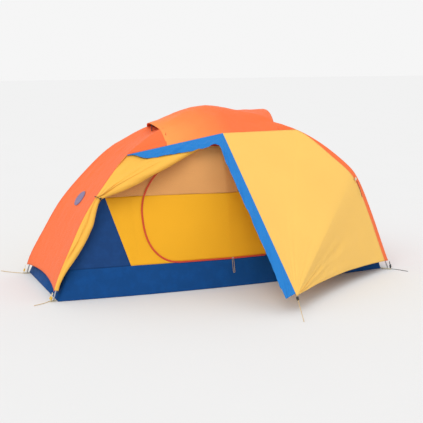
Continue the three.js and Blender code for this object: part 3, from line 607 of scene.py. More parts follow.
def grid_object(name, points, finish, flip=False, wrap=False):
    """A mesh of quads over a grid of points, with a UV map in metres of cloth."""
    rows, columns = points.shape[:2]
    index = np.arange(rows * columns).reshape(rows, columns)
    if wrap:
        index = np.concatenate([index, index[:, :1]], axis=1)
    quads = np.stack([index[:-1, :-1], index[1:, :-1], index[1:, 1:], index[:-1, 1:]], -1).reshape(-1, 4)
    if flip:
        quads = quads[:, ::-1]
    mesh = bpy.data.meshes.new(name)
    mesh.from_pydata(points.reshape(-1, 3).tolist(), [], quads.tolist())
    along = run_lengths(points, 0)
    across = run_lengths(points, 1)
    if wrap:
        across = np.linspace(0, 1, columns)[None, :].repeat(rows, 0)
    flat = np.stack([across.reshape(-1), along.reshape(-1)], -1)
    layer = mesh.uv_layers.new(name="Cloth")
    corners = np.empty(len(mesh.loops), int)
    mesh.loops.foreach_get("vertex_index", corners)
    uv = flat[corners]
    if wrap:
        quad_columns = np.tile(np.repeat(np.arange(columns), 4), rows - 1)
        last = (quad_columns == columns - 1) & (uv[:, 0] < 0.5 / columns)
        uv[last, 0] = columns / (columns - 1)
    layer.data.foreach_set("uv", uv.reshape(-1).astype(np.float32))
    mesh.polygons.foreach_set("use_smooth", [True] * len(mesh.polygons))
    mesh.materials.append(finish_for(finish))
    mesh.update()
    return link(bpy.data.objects.new(name, mesh))


def surface_area(points):
    first = np.cross(points[1:, :-1] - points[:-1, :-1], points[:-1, 1:] - points[:-1, :-1])
    second = np.cross(points[1:, :-1] - points[1:, 1:], points[:-1, 1:] - points[1:, 1:])
    return float((np.linalg.norm(first, axis=-1) + np.linalg.norm(second, axis=-1)).sum() / 2)


def thicken(piece, thickness):
    solid = piece.modifiers.new("thickness", "SOLIDIFY")
    solid.thickness = thickness
    solid.offset = -1


def settle(piece, body, replaces=()):
    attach(piece, body)
    if replaces:
        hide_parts(*replaces)


def cloth(name, points, finish, replaces=(), body="tent",
          inside=(0, 0, 0.35), thickness=None):
    """A sheet of cloth over a grid of points, thickened inwards, on its body and declared."""
    _, sign = outward(points, inside)
    piece = grid_object(name, points, finish, flip=sign < 0)
    thicken(piece, thickness or shape().cloth_thickness)
    settle(piece, body, replaces)
    round(surface_area(points), 5)
    return piece


TAPE_THICKNESS = 0.0008


def strip(name, path, across, width, finish, body="tent", lift=0.0007, rise=None, columns=3):
    """A narrow tape that follows a path; `across` is the direction of its width at each point."""
    path = np.asarray(path, float)
    across = np.asarray(across, float) * np.ones_like(path)
    across = unit(across)
    along = np.gradient(path, axis=0)
    up = np.cross(along, across)
    up = unit(up)
    if rise is not None:
        up *= np.sign((up * rise).sum(-1, keepdims=True))
    shares = np.linspace(-0.5, 0.5, columns)
    points = (path[:, None] + across[:, None] * (shares * width)[None, :, None]
              + up[:, None] * (lift + 0.0006 * (1 - (2 * shares) ** 2))[None, :, None])
    sign = 1 if (grid_normals(points) * up[:, None]).sum() > 0 else -1
    piece = grid_object(name, points, finish, flip=sign < 0)
    thicken(piece, TAPE_THICKNESS)
    settle(piece, body)
    return piece


def repeat_tree():
    """Small blocks set along a line at even steps, turned to follow it."""
    tree = bpy.data.node_groups.new("blocks_along_line", "GeometryNodeTree")
    sockets = tree.interface
    sockets.new_socket("Line", in_out="INPUT", socket_type="NodeSocketGeometry")
    rows = [
        ("Step", "NodeSocketFloat", 0.0032), ("Block", "NodeSocketVector", (0.0006, 0.0006, 0.002)),
        ("Face", "NodeSocketVector", (0, -1, 0)), ("Material", "NodeSocketMaterial", None)]
    for name, kind, value in rows:
        made = sockets.new_socket(name, in_out="INPUT", socket_type=kind)
        if value is not None:
            made.default_value = value
    sockets.new_socket("Blocks", in_out="OUTPUT", socket_type="NodeSocketGeometry")
    add = tree.nodes.new
    given, result = add("NodeGroupInput"), add("NodeGroupOutput")
    curve, even = add("GeometryNodeMeshToCurve"), add("GeometryNodeResampleCurve")
    even.mode = "LENGTH"
    tangent = add("GeometryNodeInputTangent")
    follow, face = add("FunctionNodeAlignRotationToVector"), add("FunctionNodeAlignRotationToVector")
    follow.axis, face.axis, face.pivot_axis = "Z", "X", "Z"
    block, place = add("GeometryNodeMeshCube"), add("GeometryNodeInstanceOnPoints")
    real, dress = add("GeometryNodeRealizeInstances"), add("GeometryNodeSetMaterial")
    joins = [
        (given, "Line", curve, "Mesh"), (curve, "Curve", even, "Curve"), (given, "Step", even, "Length"),
        (tangent, 0, follow, "Vector"), (follow, 0, face, "Rotation"), (given, "Face", face, "Vector"),
        (given, "Block", block, "Size"), (even, 0, place, "Points"), (block, "Mesh", place, "Instance"),
        (face, 0, place, "Rotation"), (place, 0, real, 0), (real, 0, dress, "Geometry"),
        (given, "Material", dress, "Material"), (dress, 0, result, 0)]
    for source, output, target, socket in joins:
        tree.links.new(source.outputs[output], target.inputs[socket])
    return tree


def repeated(name, path, block, step, finish, body="tent", face=(0.0, -1.0, 0.0)):
    """Stitches or teeth along a line, as one plain mesh; block is its depth, width and length."""
    tree = bpy.data.node_groups.get("blocks_along_line") or repeat_tree()
    mesh = bpy.data.meshes.new(f"{name}_line")
    mesh.from_pydata(np.asarray(path).tolist(), [(i, i + 1) for i in range(len(path) - 1)], [])
    line = link(bpy.data.objects.new(f"{name}_line", mesh))
    modifier = line.modifiers.new("blocks", "NODES")
    modifier.node_group = tree
    values = {"Step": step, "Block": block, "Face": face, "Material": finish_for(finish)}
    for socket in tree.interface.items_tree:
        if socket.name in values:
            modifier[socket.identifier] = values[socket.name]
    ready = line.evaluated_get(bpy.context.evaluated_depsgraph_get())
    plain = bpy.data.meshes.new_from_object(ready)
    bpy.data.objects.remove(line)
    plain.name = name
    piece = link(bpy.data.objects.new(name, plain))
    if not plain.polygons:
        raise RuntimeError(f"{name} has no blocks")
    settle(piece, body)
    return piece


def tube_points(path, radius, sides=12):
    """Rings around a path, with the radius given along it."""
    path = np.asarray(path, float)
    radius = np.broadcast_to(np.asarray(radius, float), len(path)).copy()
    along = np.gradient(path, axis=0)
    along = unit(along)
    side = np.cross(along[0], [0, 0, 1.0] if abs(along[0][2]) < 0.9 else [1.0, 0, 0])
    rings = []
    for point, direction, reach in zip(path, along, radius):
        side = side - direction * np.dot(side, direction)
        side /= np.linalg.norm(side)
        other = np.cross(direction, side)
        angles = np.linspace(0, TAU, sides, endpoint=False)
        rings.append(point + reach * (np.cos(angles)[:, None] * side + np.sin(angles)[:, None] * other))
    return np.array(rings)


def cap_ends(piece):
    mesh = bmesh.new()
    mesh.from_mesh(piece.data)
    open_edges = [edge for edge in mesh.edges if edge.is_boundary]
    bmesh.ops.holes_fill(mesh, edges=open_edges, sides=0)
    bmesh.ops.recalc_face_normals(mesh, faces=mesh.faces)
    mesh.to_mesh(piece.data)
    mesh.free()


def tube_object(name, path, radius, finish, body="tent", sides=14, replaces=()):
    piece = grid_object(name, tube_points(path, radius, sides), finish, wrap=True)
    cap_ends(piece)
    settle(piece, body, replaces)
    return piece


def softened(node, finish, body, bevel):
    """A finished copy of a hard CAD piece: merged, bevelled and shaded smooth."""
    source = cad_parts[node]
    source = source if isinstance(source, bpy.types.Object) else bpy.data.objects[node]
    mesh = bmesh.new()
    mesh.from_mesh(source.data)
    bmesh.ops.remove_doubles(mesh, verts=mesh.verts, dist=1e-5)
    bmesh.ops.dissolve_limit(mesh, angle_limit=0.03, verts=mesh.verts, edges=mesh.edges)
    data = bpy.data.meshes.new(f"{node}_finished")
    mesh.to_mesh(data)
    mesh.free()
    data.materials.append(finish_for(finish))
    data.polygons.foreach_set("use_smooth", [True] * len(data.polygons))
    piece = link(bpy.data.objects.new(data.name, data))
    rounding = piece.modifiers.new("edges", "BEVEL")
    rounding.width = bevel
    rounding.segments = 2
    rounding.limit_method = "ANGLE"
    rounding.angle_limit = math.radians(40)
    rounding.harden_normals = True
    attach(piece, body)
    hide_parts(node)
    return piece


# ---------------------------------------------------------------- the pieces
def ramp(x, low, high):
    share = np.clip((x - low) / (high - low), 0, 1)
    return share * share * (3 - 2 * share)


def vent_rise(leg, distance, crown):
    return leg.lift * crown * np.maximum(1 - distance / 0.33, 0) ** 1.4


def end_panel_points(leg, rows=90, columns=65):
    size = shape()
    bottom = leg.share_at_z(size.hem_height)
    top = leg.share_at_x(leg.vent)
    row = np.linspace(0, 1, rows)[:, None]
    v = np.linspace(-1, 1, columns)[None, :]
    arch = (0.030 / leg.length) * (1 - v * v)
    u = bottom + arch + (top + 0.030 / leg.length * (1 - v ** 4) - bottom - arch) * row
    return top_point(leg, u, v, PANEL_SAG * (1 + 1.6 * row ** 6))


def roof_half(leg, rows=60, columns=97):
    lip = leg.share_at_x(leg.vent)
    row = np.linspace(0, 1, rows)[:, None]
    v = np.linspace(-1, 1, columns)[None, :]
    lip_y = np.abs(top_point(leg, lip, v)[..., 1])
    crown = 1 - np.minimum(lip_y / leg.leg_y(leg.vent), 1) ** 2
    start = lip - 0.034 * crown / leg.length
    points = top_point(leg, start + (1 - start) * row, v)
    points[..., 2] += vent_rise(leg, row * (1 - lip) * leg.length, crown)
    return points


RUFFLE_EDGE = 0.06


def ruffle(points, amount, seed, scale):
    """Small soft wrinkles that die out at the edges."""
    normal, _ = outward(points)
    rows, columns = points.shape[:2]
    a = np.linspace(0, scale[0], rows)[:, None] + 0 * points[..., 0]
    b = np.linspace(0, scale[1], columns)[None, :] + 0 * points[..., 0]
    height = smooth_noise(a, b, seed) + 0.5 * smooth_noise(a * 2.3, b * 2.3, seed + 1)
    i = np.linspace(0, 1, rows)[:, None]
    j = np.linspace(0, 1, columns)[None, :]
    near = np.minimum(np.minimum(i, 1 - i), np.minimum(j, 1 - j))
    return points + normal * (amount * height * np.clip(near / RUFFLE_EDGE, 0, 1))[..., None]


CAMERA_PLACE = (-2.2005, -5.0141, 1.3932)
CAMERA_DOWN, CAMERA_TURN = 10.49, -24.27
CAMERA_LENS, CAMERA_SENSOR = 72.71, 36.0


class TENT_OT_camera(bpy.types.Operator):
    """Set the camera at the standing viewer's place"""

    bl_idname = "tent.camera"
    bl_label = "Camera"

    def execute(self, context):
        data = bpy.data.cameras.new("camera")
        data.lens = CAMERA_LENS
        data.sensor_width = CAMERA_SENSOR
        camera = link(bpy.data.objects.new("camera", data))
        camera.location = CAMERA_PLACE
        camera.rotation_euler = (math.radians(90 - CAMERA_DOWN), 0, math.radians(CAMERA_TURN))
        context.scene.camera = camera
        return {"FINISHED"}


GROUND_CORD = 0.0021
STAKE_CORD, VESTIBULE_CORD, GUY_CORD, PULL_CORD = 0.0032, 0.0036, 0.003, 0.0022
STAKE_CORDS = {
    "front_foot": (-1.211, -0.400), "back_foot": (-1.231, 0.468), "front_head": (1.175, -0.632)}
VESTIBULE_TIP = np.array([0.058, -1.131, 0.100])
VESTIBULE_CORD_END = np.array([0.021, -1.274, 0.002])


def cord_object(name, path, diameter, finish, node, body="tent"):
    piece = tube_object(name, path, diameter / 2, finish, body, 12, (node,))
    return piece


def smooth_path(points, count=40):
    return resample(centripetal(points), count)


def node_box(node):
    low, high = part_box(node)
    return np.array(low), np.array(high)


class TENT_OT_cords(bpy.types.Operator):
    """Lay the stake cords, the vestibule cord, the guy cord and the zip pull"""

    bl_idname = "tent.cords"
    bl_label = "Cords"

    def execute(self, context):
        for corner, (end_x, end_y) in STAKE_CORDS.items():
            node = f"stake_cord_{corner}"
            low, high = node_box(node)
            start = np.array([high[0] if end_x < 0 else low[0], low[1] if end_y > 0 else high[1], GROUND_CORD])
            end = np.array([end_x, end_y, GROUND_CORD])
            bend = start + (end - start) * 0.45 + np.cross([0, 0, 1], end - start) * 0.045
            finish = "dark_cord" if "head" in corner else "tan_cord"
            path = smooth_path([start, bend, end], 30)
            cord_object(f"{node}_braid", path, STAKE_CORD, finish, node)
        axis = VESTIBULE_CORD_END - VESTIBULE_TIP
        axis /= np.linalg.norm(axis)
        path = smooth_path([VESTIBULE_TIP + 0.004 * axis, VESTIBULE_TIP + 0.09 * axis, VESTIBULE_CORD_END], 30)
        cord_object("vestibule_cord_braid", path, VESTIBULE_CORD, "tan_cord", "vestibule_cord")
        leg = Tent.fly["head"]
        away = np.array([0.3, -0.9, 0.3]) / np.linalg.norm([0.3, -0.9, 0.3])
        points = []
        for index, z in enumerate((0.604, 0.572, 0.540, 0.508)):
            seam = top_point(leg, leg.share_at_z(z), -1.0)
            points.append(seam + (VESTIBULE_TIP - seam) * (0.035 + 0.007 * index) + 0.009 * away)
        cord_object("guy_cord_braid", smooth_path(points, 36), GUY_CORD, "dark_cord", "guy_cord_front_head")
        top = 0.1685 - 0.0045 - 0.0011
        bend, radius = top - 0.082 + 0.005, 0.005
        leg_down = [Tent.wall(-1, -radius, z, 0.005) for z in np.linspace(top, bend + 0.008, 5)]
        bottom = [Tent.wall(-1, -radius * math.cos(a), bend - radius * math.sin(a), 0.005)
                  for a in np.linspace(0, math.pi, 9)]
        leg_up = [Tent.wall(-1, radius, z, 0.005) for z in np.linspace(bend + 0.008, top, 5)]
        cord_object("zip_pull_braid", smooth_path(leg_down + bottom + leg_up, 60), PULL_CORD, "tan_cord",
                    "inner_zip_pull", "inner_zip")
        return {"FINISHED"}


class TENT_OT_canopy(bpy.types.Operator):
    """Stretch the orange end panels and roof over the poles"""

    bl_idname = "tent.canopy"
    bl_label = "Orange canopy"

    def execute(self, context):
        for name, leg in Tent.fly.items():
            points = ruffle(end_panel_points(leg), 0.0022, 11 + leg.sign, (16, 10))
            cloth(f"canopy_{name}_end", points, "orange", (f"fly_{name}_end",))
        roof = np.concatenate([roof_half(Tent.fly["foot"]), roof_half(Tent.fly["head"])[::-1][1:]])
        roof = self.rounded_crown(roof)
        roof = ruffle(roof, 0.0018, 21, (14, 9))
        cloth("canopy_roof", roof, "roof", ("fly_roof",))
        self.patch()
        return {"FINISHED"}

    def rounded_crown(self, roof, reach=0.085):
        """Blend the heights along each line of the roof near the crossing, so the crown is round."""
        out = roof.copy()
        for column in range(roof.shape[1]):
            line = roof[:, column]
            gaps = line[:, None, 0] - line[None, :, 0]
            weight = np.exp(-0.5 * (gaps / reach) ** 2) * np.gradient(line[:, 0])[None, :]
            soft = (weight * line[None, :, 2]).sum(1) / weight.sum(1)
            near = np.exp(-((line[:, 0] / 0.17) ** 4))
            out[:, column, 2] = line[:, 2] + (soft - line[:, 2]) * near
        middle = roof.shape[1] // 2
        dip = roof[:, middle, 2].max() - out[:, middle, 2].max()
        out[..., 2] += dip * np.exp(-((roof[..., 0] / 0.2) ** 4)) * (1 - np.linspace(-1, 1, roof.shape[1]) ** 2)
        return out

    def patch(self):
        """A plain round patch sewn to the foot end."""
        leg = Tent.fly["foot"]
        r = np.linspace(0.0, 1, 10)[:, None]
        turn = np.linspace(0, TAU, 49)[None, :]
        u = leg.share_at_z(0.53) + 0.052 / leg.length * r * np.sin(turn)
        v = 0.05 + 0.19 * r * np.cos(turn)
        row = (u - leg.share_at_z(0.058)) / (leg.share_at_x(leg.vent) - leg.share_at_z(0.058))
        points = top_point(leg, u, v, PANEL_SAG * (1 + 1.6 * row ** 6))
        normal = leg.normal(u)
        points = points + 0.0035 * np.stack([leg.sign * normal[..., 0], 0 * u, normal[..., 1]], -1)
        points[0] = points[0].mean(0)
        cloth("round_patch", points, "patch", inside=(0, 0, 0.35), thickness=0.0006)


def leg_edge(leg, side, count=90):
    start = leg.share_at_z(shape().hem_height)
    return top_point(leg, np.linspace(start, leg.share_at_x(leg.eave), count), float(side))


def eave_edge(leg, side, count=40):
    x = np.linspace(leg.eave, 0, count)
    y, z = leg.edge(x, leg.height_at_x(x))
    return np.stack([leg.sign * x, side * y, z], -1)


def elbow_share(path):
    """How far along the path from the brow the tension crease meets the leg."""
    return int(np.argmin(np.abs(path[:, 2] - 0.63) + (path[:, 0] < 0.7) * 10))


class TENT_OT_side_panels(bpy.types.Operator):
    """Stretch the yellow vestibule panel and the back panel"""

    bl_idname = "tent.side_panels"
    bl_label = "Yellow side panels"

    def execute(self, context):
        self.front()
        self.back()
        return {"FINISHED"}

    def front(self):
        leg = Tent.fly["head"]
        path = np.concatenate([leg_edge(leg, -1, 110), eave_edge(leg, -1, 50)[1:]])[::-1]
        elbow = elbow_share(path)
        index = np.arange(len(path))
        upper = index < elbow
        stretch = np.where(upper, index / elbow, (index - elbow) / (len(path) - 1 - elbow))
        slack = 0.004 + 0.020 * np.sin(np.pi * stretch)
        hem = np.maximum((index - elbow) / (len(path) - 1 - elbow), 0) ** 4
        w = np.linspace(0.004, 1, 100)
        bulge = 4 * w * (1 - w)
        inward = np.array([-0.35, 0.85, -0.35]) / np.linalg.norm([0.35, 0.85, 0.35])
        points = VESTIBULE_TIP + (path[:, None] - VESTIBULE_TIP) * w[None, :, None]
        points = points + inward * (slack[:, None] * bulge)[..., None]
        points[..., 1] += 0.040 * hem[:, None] * bulge
        points[..., 2] += 0.014 * hem[:, None] * bulge
        normal, _ = outward(points, (0.3, -0.3, 0.2))
        radial = smooth_noise(index[:, None] * 0.16 + 0 * w, 0.6 * w[None, :] + 0 * index[:, None], 5)
        near_tip = np.clip(1 - w, 0, 1)[None, :] * np.clip(w * 14, 0, 1)[None, :]
        low = ramp(stretch, 0.1, 0.6)[:, None] * (~upper)[:, None]
        puckers = 0.004 * radial * near_tip * (0.4 + low)
        a = index[:, None] * 0.11 + 6 * w[None, :]
        wrinkles = 0.0035 * smooth_noise(a, 9 * w[None, :] + 0 * a, 8) * low * np.clip((1 - w) * 9, 0, 1)
        points = points + normal * (puckers + wrinkles)[..., None]
        leg_rows = np.where(path[:, 0] > leg.eave * 0.98)[0][0]
        cut = 1 - 0.034 * ramp(index, leg_rows - 2, leg_rows + 30)
        inner = self.resampled(points, w, np.zeros_like(cut) + w[0], cut, 100)
        outer = self.resampled(points, w, cut, np.ones_like(cut), 8)[leg_rows:]
        cloth("vestibule_panel", inner, "yellow", ("fly_front_panel",),
              inside=(0.3, -0.3, 0.2))
        cloth("canopy_head_wrap", outer, "orange",
              inside=(0.3, -0.3, 0.2))

    def resampled(self, points, w, low, high, count):
        """The part of each line of points between two shares, sampled again."""
        shares = low[:, None] + (high - low)[:, None] * np.linspace(0, 1, count)[None, :]
        return np.stack([
            np.stack([np.interp(shares[i], w, points[i, :, k]) for k in range(3)], -1)
            for i in range(len(points))])

    def back(self):
        foot, head = Tent.fly["foot"], Tent.fly["head"]
        down = np.concatenate([leg_edge(foot, 1, 80), eave_edge(foot, 1, 40)[1:]])
        up = np.concatenate([leg_edge(head, 1, 80), eave_edge(head, 1, 40)[1:]])[::-1][1:]
        edge = np.concatenate([down, up])
        share = np.linspace(0, 1, len(edge))
        z = shape().hem_height
        foot_x = -foot.at(foot.share_at_z(z))[0]
        head_x = head.at(head.share_at_z(z))[0]
        hem = np.stack([
            foot_x + (head_x - foot_x) * share,
            foot.spread + (head.spread - foot.spread) * share + 0.108 * (1 - (2 * share - 1) ** 2),
            np.full_like(share, z - 0.004)], -1)
        w = np.linspace(0, 1, 70)
        points = edge[:, None] + (hem - edge)[:, None] * w[None, :, None]
        height = np.linalg.norm(hem - edge, axis=-1)
        points[..., 1] -= (0.016 * 4 * w * (1 - w))[None, :] * np.minimum(height / 0.6, 1)[:, None]
        points = ruffle(points, 0.003, 31, (18, 8))
        cloth("back_panel", points, "yellow", ("fly_back_panel",))


STITCH, STITCH_STEP = (0.0006, 0.0007, 0.0026), 0.0042


class TENT_OT_stitches(bpy.types.Operator):
    """Sew the seams with two rows of stitches"""

    bl_idname = "tent.stitches"
    bl_label = "Seam stitches"

    def execute(self, context):
        for name, leg in Tent.fly.items():
            low, high = leg.share_at_z(shape().hem_height), leg.share_at_x(leg.vent)
            u = np.linspace(low, high, 150)
            for side, label in ((-1, "front"), (1, "back")):
                for row, inset in enumerate((0.010, 0.016)):
                    share = 1 - inset / np.maximum(leg.leg_y(leg.at(u)[:, 0]), 0.05)
                    line = top_point(leg, u, side * share, PANEL_SAG)
                    line = line + 0.0012 * self.out(leg, u)
                    repeated(f"stitches_{label}_{name}_{row}", line, STITCH, STITCH_STEP,
                             "orange_thread", face=(leg.sign, side * 0.5, 0.8))
        edge = eave_edge(Tent.fly["head"], -1, 60)
        line = edge + np.array([0, -0.0055, -0.0062])
        repeated("stitches_eave_head", line, STITCH, STITCH_STEP, "yellow_thread",
                 face=(0.0, -0.7, 0.7))
        return {"FINISHED"}

    def out(self, leg, u):
        normal = leg.normal(u)
        return np.stack([leg.sign * normal[:, 0], np.zeros(len(u)), normal[:, 1]], -1)


class TENT_OT_storm_flap(bpy.types.Operator):
    """Hang the blue storm flap under the eave and along the zip"""

    bl_idname = "tent.storm_flap"
    bl_label = "Storm flap"

    def execute(self, context):
        wide = shape().flap_width
        eave = eave_edge(Tent.fly["foot"], -1, 110)
        grow = np.linspace(0, 1, 110)[:, None]
        eave_width = 0.004 + 0.034 * ramp(grow, 0.02, 0.2) + 0.022 * grow
        brow = np.array([0, -BROW_SPREAD, BROW_HEIGHT])
        share = np.linspace(0.0, 0.985, 230)[:, None]
        zip_line = brow + (VESTIBULE_TIP - brow) * share
        zip_wide = wide * (0.95 + 0.12 * share ** 3)
        zip_free = zip_line + zip_wide * np.concatenate([
            -np.ones_like(share), -0.16 * np.ones_like(share), -0.35 + 0 * share], -1)
        outer = np.concatenate([eave[:-1], zip_line])
        free_edge = np.concatenate([(eave + eave_width * np.array([-0.06, -1.2, -1.0]))[:-1], zip_free])
        free_edge = self.rounded(free_edge, 109, 0.125)
        w = np.linspace(0, 1, 26)[None, :, None]
        points = outer[:, None] + (free_edge - outer)[:, None] * w
        normal, _ = outward(points, (-0.2, 0.2, 0.4))
        along = run_lengths(points, 0)
        crease = smooth_noise(along * 24 + 3.5 * w[..., 0], w[..., 0] * 1.6 + 0 * along, 41)
        fold = 1 - 2 * np.abs(smooth_noise(along * 13 - 2.2 * w[..., 0], w[..., 0] * 1.1 + 0 * along, 47))
        ripple = smooth_noise(along * 60, w[..., 0] * 3 + 0 * along, 43)
        free = w[..., 0] ** 0.7
        points = points + normal * ((0.006 * crease + 0.005 * fold + 0.002 * ripple) * free)[..., None]
        cloth("storm_flap", points, "blue", ("fly_storm_flap",),
              inside=(-0.2, 0.2, 0.4))
        return {"FINISHED"}

    def rounded(self, line, corner, reach):
        """Round the free edge's inner corner, as it is cut in one sweep."""
        lengths = run_lengths(line[:, None], 0)[:, 0]
        even = np.linspace(0, lengths[-1], 700)
        dense = np.stack([np.interp(even, lengths, line[:, k]) for k in range(3)], -1)
        step = even[1]
        window = np.exp(-0.5 * (np.arange(-90, 91) * step / reach) ** 2)
        window /= window.sum()
        spread = np.concatenate([
            2 * dense[0] - dense[90:0:-1], dense, 2 * dense[-1] - dense[-2:-92:-1]])
        soft = np.stack([np.convolve(spread[:, k], window, "valid") for k in range(3)], -1)
        near = np.exp(-((even - lengths[corner]) / 0.24) ** 4)[:, None]
        dense = dense + (soft - dense) * near
        return np.stack([np.interp(lengths, even, dense[:, k]) for k in range(3)], -1)


TIE_HEIGHT = 0.570
ROLL_START = 0.095
ROLL_TURNS = 1.6
ROLL_MEETS = -1.15


class TENT_OT_door_roll(bpy.types.Operator):
    """Gather the open fly door from the eave to its tie and down the leg"""

    bl_idname = "tent.door_roll"
    bl_label = "Rolled fly door"

    def execute(self, context):
        leg = Tent.fly["foot"]
        tie_share = leg.share_at_z(TIE_HEIGHT)
        tie = top_point(leg, tie_share, -1.0) + np.array([0, -0.043, 0])
        left, right, radius = self.upper(leg, tie, tie_share)
        low = self.lower(leg, tie, tie_share)
        left, right = np.concatenate([left, low[0][1:]]), np.concatenate([right, low[1][1:]])
        radius = np.concatenate([radius, low[2][1:]])
        self.gather(left, right, radius, len(low[0]))
        return {"FINISHED"}

    def side_of(self, leg, share):
        down = top_point(leg, share - 0.02, -1.0) - top_point(leg, share + 0.02, -1.0)
        down = unit(down)
        front = np.array([0, -1.0, 0]) - down * (down @ np.array([0, -1.0, 0]))[..., None]
        front = unit(front)
        side = np.cross(down, front)
        return side * np.sign(side[..., :1]), front

    def upper(self, leg, tie, tie_share, rows=90):
        s = np.linspace(0, 1, rows)[:, None]
        share = leg.share_at_x(leg.eave) * (1 - s[:, 0]) + tie_share * s[:, 0]
        side, _ = self.side_of(leg, tie_share)
        seam = top_point(leg, share, -1.0) + np.array([-0.002, -0.003, -0.002])
        gathered = ramp(s, 0.72, 1.0)
        left = seam + (tie - side * 0.015 - seam) * gathered
        start = self.under_eave(leg, ROLL_START)
        end = tie + side * 0.006
        right = start + (end - start) * s + np.array([0, -0.010, 0.004]) * np.sin(np.pi * s)
        radius = 0.011 + 0.017 * np.sin(np.pi * np.clip(s[:, 0] * 0.72 + 0.04, 0, 1))
        radius = radius + (0.010 - radius) * ramp(s[:, 0], 0.82, 1.0)
        return left, right, radius

    def lower(self, leg, tie, tie_share, rows=80):
        s = np.linspace(0, 1, rows)[:, None]
        share = tie_share * (1 - s[:, 0]) + leg.share_at_x(0.982 * leg.reach) * s[:, 0]
        side, front = self.side_of(leg, share)
        seam = top_point(leg, share, -1.0) + np.array([-0.002, -0.004, 0])
        opened = ramp(s, 0.0, 0.22)
        left = tie - side * 0.015 + (seam - (tie - side * 0.015)) * opened
        width = 0.006 + 0.044 * ramp(s, 0.0, 0.3) * (1 - 0.98 * ramp(s, 0.35, 1.0))
        right = tie + side * 0.006 + (seam + front * 0.016 + side * width - tie - side * 0.006) * opened
        radius = 0.010 + 0.010 * ramp(s[:, 0], 0, 0.25) * (1 - 0.75 * ramp(s[:, 0], 0.4, 1.0))
        return left, right, radius

    def gather(self, left, right, radius, lower_rows, fan=56, turns=64):
        rows = len(left)
        s = run_lengths(right[:, None], 0)
        axis = np.gradient(right, axis=0)
        axis = unit(axis)
        front = np.array([0, -1.0, 0]) - axis * (axis @ np.array([0, -1.0, 0]))[:, None]
        front = unit(front)
        side = np.cross(axis, front)
        side *= np.sign((side * (right - left)).sum(-1, keepdims=True))
        t = np.linspace(0, 1, fan)[None, :]
        join = right + radius[:, None] * (np.cos(ROLL_MEETS) * front + np.sin(ROLL_MEETS) * side)
        flat = left[:, None] + (join - left)[:, None] * t[..., None]
        width = np.linalg.norm(join - left, axis=-1)[:, None]
        belly = np.sin(np.pi * t) * np.minimum(width * 0.10, 0.016)
        near = np.exp(-((s - s[rows - lower_rows]) / 0.16) ** 2)
        folds = np.sin(TAU * 3.2 * t ** 1.2 + 1.3 * smooth_noise(s * 6 + 0 * t, t * 3 + 0 * s, 55))
        soft = smooth_noise(s * 9 + 3 * t, t * 3.5 + 0 * s, 57)
        lift = belly + np.sin(np.pi * t) * (
            np.minimum(width * 0.13, 0.013) * folds * (0.35 + 0.65 * near) + 0.011 * soft * (1 - near))
        lift = lift * (0.15 + 0.85 * ramp(s, 0.0, 0.25))
        fan_points = flat + front[:, None] * lift[..., None]
        turn = ROLL_MEETS + np.linspace(0, 1, turns + 1)[None, 1:] * TAU * ROLL_TURNS
        shrink = radius[:, None] * (1 - 0.34 * (turn - ROLL_MEETS) / (TAU * ROLL_TURNS))
        shrink = shrink * (1 + 0.10 * smooth_noise(s * 14 + 0.8 * turn, 0.9 * turn + 0 * s, 59))
        roll = right[:, None] + shrink[..., None] * (
            np.cos(turn)[..., None] * front[:, None] + np.sin(turn)[..., None] * side[:, None])
        points = np.concatenate([fan_points, roll], axis=1)
        points[..., 1] += 0.015 * (1 - ramp(s, 0.10, 0.36))
        cloth("rolled_door", points, "door", ("fly_door_roll",),
              inside=(-0.6, 0.4, 0.4), thickness=0.0006)

    def under_eave(self, leg, x):
        y, z = leg.edge(np.float64(x), leg.height_at_x(x))
        return np.array([-x, -float(y) - 0.010, float(z) - 0.040])


def rows_between(low, high, count):
    return np.linspace(low, high, count)[:, None]


DOOR_LEFT, DOOR_HINGE, DOOR_TOP, DOOR_FULL, DOOR_TOP_LEFT = -0.524, 0.232, 0.842, 0.430, -0.190


def wall_base():
    return shape().tub_height + 0.0035


def door_edge_x(z):
    corner = DOOR_FULL - wall_base()
    below = (DOOR_FULL - z) / corner
    low = DOOR_LEFT + (1 - np.sqrt(np.maximum(1 - np.clip(below, 0, 1) ** 2.6, 0))) * corner * 0.72
    above = np.clip((z - DOOR_FULL) / (DOOR_TOP - DOOR_FULL), 0, 1)
    high = DOOR_LEFT + (DOOR_TOP_LEFT - DOOR_LEFT) * above ** 2.2
    return np.where(z < DOOR_FULL, low, high)


def corner_panel_x(z):
    apex = Tent.wall_end("foot", shape().wall_height) + 0.014
    return -0.627 + (apex + 0.627) * (z - wall_base()) / (shape().wall_height - wall_base())


def foot(z):
    return Tent.wall_end("foot", z)


def head(z):
    return Tent.wall_end("head", z)


def hinge(z):
    return DOOR_HINGE + 0 * z


def roof_foot(z):
    return Tent.roof_edge_x(-1, z)


def roof_head(z):
    return Tent.roof_edge_x(1, z)


def net_door_edge(z):
    return np.maximum(door_edge_x(z), roof_foot(z) + 0.004)


def wall_sheet(name, side, z_low, z_high, left, right, finish, slot, replaces, body="tent", rows=40, columns=60,
               belly=0.004, seed=1):
    """A panel of an inner side wall between two heights and two edges, with a little slack."""
    z = rows_between(z_low, z_high, rows)
    j = np.linspace(0, 1, columns)[None, :]
    x = left(z) + (right(z) - left(z)) * j
    i = np.linspace(0, 1, rows)[:, None]
    slack = belly * np.sin(np.pi * i) * np.sin(np.pi * j)
    slack = slack + 0.0025 * smooth_noise(x * 9, z * 9 + 0 * x, seed) * np.minimum(np.sin(np.pi * j) * 3, 1)
    points = Tent.wall(side, x, z + 0 * x, slack)
    return cloth(name, points, finish, replaces, body=body, inside=(0, 0, 0.35))


